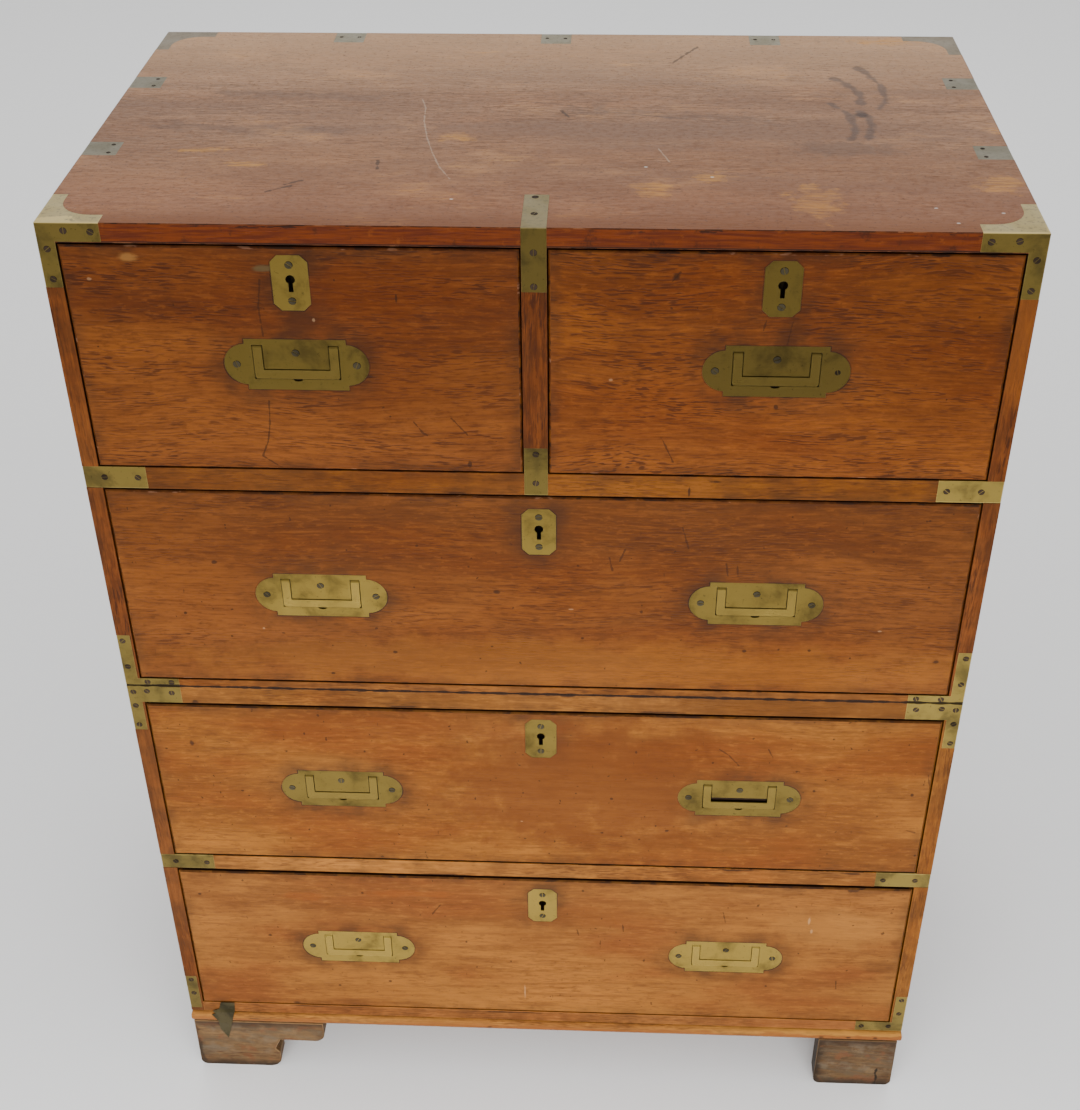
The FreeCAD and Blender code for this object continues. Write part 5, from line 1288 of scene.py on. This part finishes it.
def moulding_marks(recipe, colour, rough):
    """Golden above, with a painted highlight at the right end; redder below, partly painted shade; dirt and
    painted shade where it meets the case; the heads of its nails.
    """
    parts = recipe.axes()
    cloud = recipe.noise(recipe.vector("MULTIPLY", recipe.place, (20.0, 20.0, 60.0)), detail=4.0,
                         roughness=0.65)
    height = recipe.maths("ADD", parts["Z"], recipe.ramp(cloud, 0.35, 0.65, low=-0.0025, high=0.0025))
    # Redder and darker on the lower round, partly painted shade.
    colour = recipe.glaze(colour, height, 0.0870, 0.0840, 0.55, (0.165, 0.050, 0.010))
    colour = recipe.glaze(colour, cloud, 0.56, 0.68, 0.6, (0.075, 0.030, 0.010))
    # A painted highlight along the upper round at the right end.
    right = recipe.times(recipe.ramp(parts["X"], 0.13, 0.33, high=0.32), recipe.ramp(height, 0.085, 0.088))
    colour = recipe.mix(right, colour, (0.410, 0.195, 0.030))
    # Dirt and painted shade in the crease under the case.
    seam = recipe.times(recipe.ramp(parts["Z"], 0.0916, 0.0928), recipe.ramp(cloud, 0.40, 0.64, high=0.60))
    colour = recipe.mix(seam, colour, DIRT)
    flat = recipe.vector("MULTIPLY", recipe.place, (1.0, 0.0, 1.0))
    nails = spots(recipe, flat, [oval(x, z, *NAIL_HEAD) for x, z in MOULDING_NAILS], ragged=0.3)
    return recipe.mix(recipe.times(nails, 0.80), colour, DIRT), rough


# %% [markdown]
# The moulding is one profile led round three sides of the chest and mitred at the front corners: a ring of
# points for each corner, joined to the next. The strip behind is a plain block.

# %% The base moulding's shape
MOULDING_LOW, MOULDING_HIGH = 0.076, 0.094
MOULDING_OUT, MOULDING_FRONT, MOULDING_BACK = 0.3944, -0.233, 0.233
MOULDING_WIDTH, MOULDING_ROUND, ROUND_STEPS = 0.048, 0.007, 6


def moulding_section():
    """Points round the section: how far in, how high, and whether the run to the next is round."""
    points = [(MOULDING_WIDTH, MOULDING_HIGH, False)]
    for low_half in (False, True):
        for step in range(ROUND_STEPS + 1):
            turn = math.radians(90) * (ROUND_STEPS - step if low_half else step) / ROUND_STEPS
            rise = MOULDING_ROUND * (1 - math.cos(turn))
            height = MOULDING_LOW + rise if low_half else MOULDING_HIGH - rise
            points.append((MOULDING_ROUND * (1 - math.sin(turn)), height, step < ROUND_STEPS))
    return points + [(MOULDING_WIDTH, MOULDING_LOW, False)]


def moulding_mesh():
    mesh = bmesh.new()
    section = moulding_section()
    corners = ((-1, MOULDING_BACK, 0), (-1, MOULDING_FRONT, 1), (1, MOULDING_FRONT, 1), (1, MOULDING_BACK, 0))
    rings = [[mesh.verts.new((side * (MOULDING_OUT - inward), y + mitre * inward, z))
              for inward, z, is_round in section] for side, y, mitre in corners]
    for ring, following in zip(rings, rings[1:]):
        for index, (inward, z, is_round) in enumerate(section):
            after = (index + 1) % len(section)
            face = mesh.faces.new((ring[index], ring[after], following[after], following[index]))
            face.material_index = int(is_round)
    mesh.faces.new(rings[0])
    mesh.faces.new(rings[-1])
    inside = MOULDING_OUT - MOULDING_WIDTH
    block = bmesh.ops.create_cube(mesh, size=1.0)["verts"]
    middle = ((MOULDING_LOW + MOULDING_HIGH) / 2, MOULDING_BACK - MOULDING_WIDTH / 2)
    for corner in block:
        corner.co = Vector((corner.co.x * 2 * inside, middle[1] + corner.co.y * MOULDING_WIDTH,
                            middle[0] + corner.co.z * (MOULDING_HIGH - MOULDING_LOW)))
    bmesh.ops.recalc_face_normals(mesh, faces=mesh.faces)
    return mesh


# %% [markdown]
# The moulding takes its own mesh in place of the frame's, because its mitres are sharp. The feet get wide
# bevels, because they were kicked and mopped round for years.

# %% The moulding and the feet
MOULDING_NAILS = ((0.306, 0.0825), (0.336, 0.0830), (0.3655, 0.0835), (-0.352, 0.0825), (-0.060, 0.0825))
NAIL_HEAD = (0.0030, 0.0018)
BASE_SEED = 70.0
# The feet's higher wear darkens their arrises more, which also stands for painted shade at their edges.
FOOT_EASING, FOOT_SHORTEST, FOOT_WEAR_AND_SHADE = 0.0012, 0.006, 1.7
FOOT_TONES = {"front_left_foot": "left_foot", "front_right_foot": "right_foot", "rear_feet": "foot"}
for index, node in enumerate(("base_moulding", *FOOT_TONES)):
    if node == "base_moulding":
        finish = waxed_wood(node + "_wood", "moulding", seed=BASE_SEED, marks=moulding_marks)
        arris = finish
        item = plain_object(node + "_wood_piece", moulding_mesh())
        for face in item.data.polygons:
            face.use_smooth = True
        settle_normals(item)
    else:
        tone = FOOT_TONES[node]
        finish = waxed_wood(node + "_wood", tone, seed=BASE_SEED + index, gloss=0.50, marks=foot_marks,
                            sheen=0.08, box=None if node == "rear_feet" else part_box(node), wear=FOOT_WEAR_AND_SHADE)
        arris = arrises[tone]
        item = eased_piece(node, node + "_wood_piece", FOOT_EASING, shortest=FOOT_SHORTEST)
        low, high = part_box(node)
        # Bevels of parts that touch leave small horns, which are drawn back into the foot's box.
        for corner in item.data.vertices:
            corner.co = [min(max(part, least), most) for part, least, most in zip(corner.co, low, high)]
    take_over(item, node, [finish, arris])
    print(node, len(item.data.polygons), "faces")

# %% [markdown]
# ## Brass pieces
# Plates, bails, brackets, straps and bolts keep their own shapes, with a fine bevel that has a brighter brass
# of its own, partly because an edge is where brass is rubbed, partly as a painted highlight. On brackets and
# straps only the outer edges are rubbed round. Two things were worn away by use: the finger notches under the
# grips show as slits, and one handle's tongue is short.

# %% Worn openings
# Heights from the plate's middle: the slot's lower edge, and the tongue's. Then the notch's radius, and the
# shares of its height and width that are left of it as a slit.
SLOT_LOW, TONGUE_LOW, TONGUE_HALF = -0.0135, -0.0042, 0.0271
NOTCH_RADIUS, NOTCH_FLAT, NOTCH_NARROW = 0.0051, 0.40, 0.80
SHORT_TONGUE, SHORT_BY = ("middle_long_drawer", 1), 0.0048


def worn_openings(drawer):
    """The change of shape for the plates of one drawer."""
    def reshape(mesh):
        for number, middle in enumerate(handles[drawer]):
            is_short = (drawer, number) == SHORT_TONGUE
            for corner in mesh.verts:
                across, rise = corner.co.x - middle.x, corner.co.z - middle.z
                if abs(across) < NOTCH_RADIUS and SLOT_LOW - NOTCH_RADIUS < rise < SLOT_LOW + TOUCHING:
                    corner.co.x = middle.x + across * NOTCH_NARROW
                    corner.co.z = middle.z + SLOT_LOW + (rise - SLOT_LOW) * NOTCH_FLAT
                elif is_short and abs(across) < TONGUE_HALF and abs(rise - TONGUE_LOW) < NEAR:
                    corner.co.z += SHORT_BY

    return reshape


# %% Brass pieces
# The width of the bevels, and the share of it that edges inside the piece get.
BRASS_EASING, BRACKET_EASING = (0.0003, 1.0), (0.0009, 0.25)
for node in sorted(nodes):
    if slots[node] in ("brass", "strap_brass", "bail_brass", "bolt_brass"):
        drawer = drawer_of(node)
        width, inner = BRACKET_EASING if "bracket" in node or "strap" in node else BRASS_EASING
        reshape = worn_openings(drawer) if node.endswith("_fittings") else None
        edge = edge_brasses[drawer] if drawer else edge_brass
        piece = eased_piece(node, node + "_metal", width, inner, reshape=reshape)
        take_over(piece, node, [brass_for(node), edge])
        print(node, len(piece.data.polygons), "faces")

# %% [markdown]
# ## Screws
# Every plate is held by slotted screws, and no two slots point the same way. Geometry Nodes suit that: one
# head is made from a cylinder and a slot, and it is put on each point of a small point cloud, turned to the
# surface and by a random angle. The points carry which way they face and how large they are.

# %% The tree that makes slotted screws
# The head tapers a little to its top, and the slot runs past it on both sides.
HEAD_CORNERS, HEAD_TOP, SLOT_LENGTH = 24, 0.90, 2.4
SLOT_WIDTH, SLOT_DEPTH, IN_SLOT = 0.22, 0.12, 0.01


def screw_tree():
    """Lengths in the tree are shares of the head's radius, which each point gives as its size."""
    tree = bpy.data.node_groups.new("slotted_screws", "GeometryNodeTree")
    for name, kind in (("Geometry", "NodeSocketGeometry"), ("Metal", "NodeSocketMaterial"),
                       ("Dirt And Shade", "NodeSocketMaterial"), ("Stand", "NodeSocketFloat"),
                       ("Slot Width", "NodeSocketFloat"), ("Slot Depth", "NodeSocketFloat"),
                       ("Seed", "NodeSocketInt")):
        tree.interface.new_socket(name=name, in_out="INPUT", socket_type=kind)
    tree.interface.new_socket(name="Geometry", in_out="OUTPUT", socket_type="NodeSocketGeometry")
    put = tree.nodes.new
    link = tree.links.new
    given = put("NodeGroupInput").outputs
    head = put("GeometryNodeMeshCone")
    head.inputs["Vertices"].default_value = HEAD_CORNERS
    head.inputs["Radius Top"].default_value = HEAD_TOP
    head.inputs["Radius Bottom"].default_value = 1.0
    link(given["Stand"], head.inputs["Depth"])
    slot = put("GeometryNodeMeshCube")
    slot_size = put("ShaderNodeCombineXYZ")
    slot_size.inputs["X"].default_value = SLOT_LENGTH
    link(given["Slot Width"], slot_size.inputs["Y"])
    twice = put("ShaderNodeMath")
    twice.operation = "MULTIPLY"
    twice.inputs[1].default_value = 2.0
    link(given["Slot Depth"], twice.inputs[0])
    link(twice.outputs[0], slot_size.inputs["Z"])
    link(slot_size.outputs[0], slot.inputs["Size"])
    lift = put("ShaderNodeCombineXYZ")
    link(given["Stand"], lift.inputs["Z"])
    raised = put("GeometryNodeTransform")
    link(slot.outputs["Mesh"], raised.inputs["Geometry"])
    link(lift.outputs[0], raised.inputs["Translation"])
    cut = put("GeometryNodeMeshBoolean")
    cut.operation = "DIFFERENCE"
    link(head.outputs["Mesh"], cut.inputs[0])
    link(raised.outputs["Geometry"], cut.inputs[1])
    height = put("ShaderNodeSeparateXYZ")
    link(put("GeometryNodeInputPosition").outputs["Position"], height.inputs["Vector"])
    sunk = put("ShaderNodeMath")
    sunk.operation = "SUBTRACT"
    link(given["Stand"], sunk.inputs[0])
    link(height.outputs["Z"], sunk.inputs[1])
    # Faces below the head's top take the dark material: the slot, and the head's side, where it is a painted
    # shadow line round the rim.
    sunk_share = put("ShaderNodeMath")
    sunk_share.operation = "GREATER_THAN"
    sunk_share.inputs[1].default_value = IN_SLOT
    link(sunk.outputs[0], sunk_share.inputs[0])
    marked = put("GeometryNodeStoreNamedAttribute")
    marked.data_type = "BOOLEAN"
    marked.domain = "FACE"
    marked.inputs["Name"].default_value = "in_slot"
    link(cut.outputs["Mesh"], marked.inputs["Geometry"])
    link(sunk_share.outputs[0], marked.inputs["Value"])
    facing = put("GeometryNodeInputNamedAttribute")
    facing.data_type = "FLOAT_VECTOR"
    facing.inputs["Name"].default_value = "facing"
    large = put("GeometryNodeInputNamedAttribute")
    large.data_type = "FLOAT"
    large.inputs["Name"].default_value = "size"
    align = put("FunctionNodeAlignRotationToVector")
    align.axis = "Z"
    link(facing.outputs["Attribute"], align.inputs["Vector"])
    random = put("FunctionNodeRandomValue")
    random.data_type = "FLOAT"
    for socket in random.inputs:
        if socket.name == "Max" and socket.type == "VALUE":
            socket.default_value = math.pi
    link(given["Seed"], random.inputs["Seed"])
    spin = put("FunctionNodeAxisAngleToRotation")
    spin.inputs["Axis"].default_value = (0, 0, 1)
    link(next(socket for socket in random.outputs if socket.type == "VALUE"), spin.inputs["Angle"])
    turn = put("FunctionNodeRotateRotation")
    turn.rotation_space = "LOCAL"
    link(align.outputs["Rotation"], turn.inputs["Rotation"])
    link(spin.outputs["Rotation"], turn.inputs["Rotate By"])
    place = put("GeometryNodeInstanceOnPoints")
    link(given["Geometry"], place.inputs["Points"])
    link(marked.outputs["Geometry"], place.inputs["Instance"])
    link(turn.outputs["Rotation"], place.inputs["Rotation"])
    link(large.outputs["Attribute"], place.inputs["Scale"])
    real = put("GeometryNodeRealizeInstances")
    link(place.outputs["Instances"], real.inputs["Geometry"])
    coat = put("GeometryNodeSetMaterial")
    link(real.outputs["Geometry"], coat.inputs["Geometry"])
    link(given["Metal"], coat.inputs["Material"])
    in_slot = put("GeometryNodeInputNamedAttribute")
    in_slot.data_type = "BOOLEAN"
    in_slot.inputs["Name"].default_value = "in_slot"
    dirty = put("GeometryNodeSetMaterial")
    link(coat.outputs["Geometry"], dirty.inputs["Geometry"])
    link(in_slot.outputs["Attribute"], dirty.inputs["Selection"])
    link(given["Dirt And Shade"], dirty.inputs["Material"])
    link(dirty.outputs["Geometry"], put("NodeGroupOutput").inputs["Geometry"])
    return tree


SCREWS = screw_tree()


def drop_empty_finishes(data):
    """The tree leaves an unused place before its materials."""
    finishes = list(data.materials)
    kept = [finish for finish in finishes if finish is not None]
    places = [kept.index(finishes[face.material_index]) for face in data.polygons]
    data.materials.clear()
    for finish in kept:
        data.materials.append(finish)
    data.polygons.foreach_set("material_index", places)


def screws(name, body, places, metal, stand, seed):
    """Places are (middle, facing, radius). The heads become one plain mesh on the body."""
    data = bpy.data.meshes.new(name)
    data.from_pydata([tuple(middle) for middle, facing, radius in places], [], [])
    data.attributes.new("facing", "FLOAT_VECTOR", "POINT")
    data.attributes.new("size", "FLOAT", "POINT")
    for index, (middle, facing, radius) in enumerate(places):
        data.attributes["facing"].data[index].vector = facing
        data.attributes["size"].data[index].value = radius
    item = bpy.data.objects.new(name, data)
    bpy.context.scene.collection.objects.link(item)
    modifier = item.modifiers.new("screws", "NODES")
    modifier.node_group = SCREWS
    values = {"Metal": metal, "Dirt And Shade": slot_dirt_and_shade, "Stand": stand, "Slot Width": SLOT_WIDTH,
              "Slot Depth": SLOT_DEPTH, "Seed": seed}
    for entry in SCREWS.interface.items_tree:
        if entry.name in values:
            modifier[entry.identifier] = values[entry.name]
    apply_modifiers(item)
    drop_empty_finishes(item.data)
    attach(item, body)
    print(name, len(places), "screws,", len(item.data.polygons), "faces", item.data.materials.keys())


# %% Screws of the handles and keyhole plates
# Dirt in the screw slots, and painted shade: the line round each head and the dark disc in the empty hole.
slot_dirt_and_shade = aged_brass("slot_dirt_and_shade", (0.022, 0.016, 0.010), (0.012, 0.009, 0.006), patina=0.6, gloss=0.60)
screw_brass = aged_brass("screw_brass", (0.064, 0.053, 0.031), (0.036, 0.030, 0.018), patina=0.5, gloss=0.46)
screw_steel = aged_brass("screw_steel", (0.062, 0.040, 0.028), (0.036, 0.024, 0.016), patina=0.6, gloss=0.55)
OUTWARD, BACKWARD, UPWARD = Vector((0, -1, 0)), Vector((0, 1, 0)), Vector((0, 0, 1))
HANDLE_SCREWS = ((-0.0496, 0.0), (0.0496, 0.0), (0.0, 0.011))
KEYHOLE_PLATE_SCREWS = (-0.0157, 0.0157)
HANDLE_SCREW_RADIUS, EMPTY_HOLE_RADIUS = 0.0033, 0.0024
# How far a head stands out, as a share of its radius: of the handles' screws, of the dark disc of dirt and
# painted shade in the empty hole and of the filed brackets' screws.
HANDLE_STAND, HOLE_STAND, BRACKET_STAND = 0.10, 0.02, 0.06
HOLE_SEED, HANDLE_SEED, BRACKET_SEED = 10, 11, 31
EMPTY_HOLE = ("short_right_drawer", 1)
for number, drawer in enumerate(DRAWERS):
    places = []
    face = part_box(drawer + "_front")[0].y
    for middle in handles[drawer]:
        for across, rise in HANDLE_SCREWS:
            places.append((Vector((middle.x + across, face, middle.z + rise)), OUTWARD, HANDLE_SCREW_RADIUS))
    if drawer == EMPTY_HOLE[0]:
        place, facing, radius = places.pop(EMPTY_HOLE[1])
        screws("empty_screw_hole", drawer, [(place, facing, EMPTY_HOLE_RADIUS)], slot_dirt_and_shade,
               HOLE_STAND, HOLE_SEED)
    centre = scutcheons[drawer]
    for rise in KEYHOLE_PLATE_SCREWS:
        places.append((Vector((centre.x, face, centre.z + rise)), OUTWARD, HANDLE_SCREW_RADIUS))
    screws(drawer + "_screws", drawer, places, screw_brass, HANDLE_STAND, HANDLE_SEED + number)

# %% [markdown]
# The corner brackets and straps are held by smaller screws whose heads were filed flush and have rusted dark.
# Each corner's screws are given once, as distances in from the corner and heights, and repeated on the front,
# the flank and the back.

# %% Screws of the corner brackets and straps
CASE_BACK = 0.233
BRACKET_SCREWS = {
    "upper_case": ((0.0228, 1.0314), (0.0441, 1.0306), (0.0073, 1.0157), (0.0076, 0.9897),
                   (0.0050, 0.6206), (0.0053, 0.5899), (0.0212, 0.5716), (0.0441, 0.5716)),
    "lower_case": ((0.0057, 0.5588), (0.0189, 0.5600), (0.0425, 0.5584), (0.0055, 0.5417), (0.0053, 0.5175),
                   (0.0063, 0.1453), (0.0065, 0.1232), (0.0157, 0.1020), (0.0449, 0.1012)),
}
TORN_ABOVE = 0.11
STRAP_SCREWS = {"upper_case": ((0.0181, 0.8020), (0.0472, 0.8020)),
                "lower_case": ((0.0150, 0.3305), (0.0472, 0.3298))}
MIDDLE_SCREWS = ((-0.0021, 1.0173), (-0.0021, 0.9881), (-0.0019, 0.8323), (-0.0021, 0.8032))
LID_SCREWS = ((-0.0031, -0.1720), (-0.0025, -0.2044))
SIDE_STRAPS = ((-0.371, -0.0785), (-0.371, 0.0850), (0.371, -0.070), (0.371, 0.0970))
BACK_STRAPS = ((-0.206, 0.2195), (0.0, 0.2195), (0.206, 0.2195))
STRAP_SPREAD = 0.009
SMALL_RADIUS = 0.0020
RUST_RADIUS = 0.0029


def corner_screws(inset, height, rear=True):
    """One screw of a bracket on every face that the bracket's twins show."""
    places = []
    for side in (-1, 1):
        places.append((Vector((side * (CASE_HALF - inset), CASE_FRONT, height)), OUTWARD, RUST_RADIUS))
        places.append((Vector((side * CASE_HALF, CASE_FRONT + inset, height)), Vector((side, 0, 0)),
                       RUST_RADIUS))
        if rear:
            places.append((Vector((side * (CASE_HALF - inset), CASE_BACK, height)), BACKWARD, RUST_RADIUS))
            places.append((Vector((side * CASE_HALF, CASE_BACK - inset, height)), Vector((side, 0, 0)),
                           RUST_RADIUS))
    return places


def lid_screws():
    """The middle strap's screws, and two on each small strap."""
    flat = list(LID_SCREWS)
    for spread in (-STRAP_SPREAD, STRAP_SPREAD):
        flat += [(x, y + spread) for x, y in SIDE_STRAPS]
        flat += [(x + spread, y) for x, y in BACK_STRAPS]
    return [(Vector((x, y, CASE_TOP)), UPWARD, SMALL_RADIUS if index > 1 else RUST_RADIUS)
            for index, (x, y) in enumerate(flat)]


def torn_off(place):
    """Where the lowest left bracket has lost its foot there is nothing to screw."""
    return place.x < 0 and place.y < 0 and place.z < TORN_ABOVE


for number, case in enumerate(("upper_case", "lower_case")):
    places = [entry for inset, height in BRACKET_SCREWS[case] for entry in corner_screws(inset, height)]
    places += [entry for inset, height in STRAP_SCREWS[case]
               for entry in corner_screws(inset, height, rear=False)]
    if case == "upper_case":
        places += [(Vector((x, CASE_FRONT, z)), OUTWARD, RUST_RADIUS) for x, z in MIDDLE_SCREWS]
        places += lid_screws()
    places = [entry for entry in places if not torn_off(entry[0])]
    screws(case + "_bracket_screws", case, places, screw_steel, BRACKET_STAND,
           BRACKET_SEED + number)

# %% [markdown]
# The torn lower left bracket has left its foot behind: a bent scrap of thin brass that hangs over the
# moulding and the foot. Its outline is listed point by point, and it leans on what lies behind it.

# %% The torn scrap
SCRAP_OUTLINE = ((-0.3589, 0.1090), (-0.3435, 0.1090), (-0.3444, 0.0969), (-0.3501, 0.0744),
                 (-0.3569, 0.0485), (-0.3640, 0.0660), (-0.3642, 0.0791), (-0.3707, 0.0902),
                 (-0.3660, 0.0925), (-0.3690, 0.0955), (-0.3620, 0.0980))
SCRAP_THICK, SCRAP_EASING = 0.0007, 0.00015
# The height of each bend, and how far the scrap's back stands out there.
SCRAP_BENDS = ((0.1100, 0.0), (0.0985, 0.0), (0.0945, 0.0021), (0.0760, 0.0021), (0.0480, 0.0002))


def scrap_front(height):
    """Where the scrap's back lies at a height: flat on the rail, out over the moulding, down to the foot."""
    for (upper, out_above), (lower, out_below) in zip(SCRAP_BENDS, SCRAP_BENDS[1:]):
        if height >= lower:
            return CASE_FRONT - out_below - (out_above - out_below) * (height - lower) / (upper - lower)
    return CASE_FRONT


mesh = bmesh.new()
mesh.faces.new([mesh.verts.new((x, 0, z)) for x, z in SCRAP_OUTLINE])
for height, out in SCRAP_BENDS[1:-1]:
    bmesh.ops.bisect_plane(mesh, geom=mesh.verts[:] + mesh.edges[:] + mesh.faces[:], plane_co=(0, 0, height),
                           plane_no=(0, 0, 1))
bmesh.ops.recalc_face_normals(mesh, faces=mesh.faces)
for corner in mesh.verts:
    corner.co.y = scrap_front(corner.co.z)
if mesh.faces[:][0].normal.y > 0:
    bmesh.ops.reverse_faces(mesh, faces=mesh.faces)
scrap = plain_object("torn_scrap", mesh)
wall = scrap.modifiers.new("thickness", "SOLIDIFY")
wall.thickness = SCRAP_THICK
wall.offset = 1.0
easing = scrap.modifiers.new("easing", "BEVEL")
easing.width = SCRAP_EASING
easing.segments = 2
easing.limit_method = "ANGLE"
easing.angle_limit = math.radians(50)
apply_modifiers(scrap)
scrap_brass = aged_brass("scrap_brass", (0.085, 0.068, 0.030), (0.045, 0.038, 0.018), patina=0.6, gloss=0.45)
scrap.data.materials[0] = scrap_brass
scrap.data.materials[1] = scrap_brass
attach(scrap, "lower_case")
print("torn scrap:", len(scrap.data.polygons), "faces")

# %% [markdown]
# ## The finished chest
# The torn scrap, the moulding and the screws' heads change the outer size a little, so it is measured again.

# %% The size of the finished chest, and the end
low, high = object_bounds()
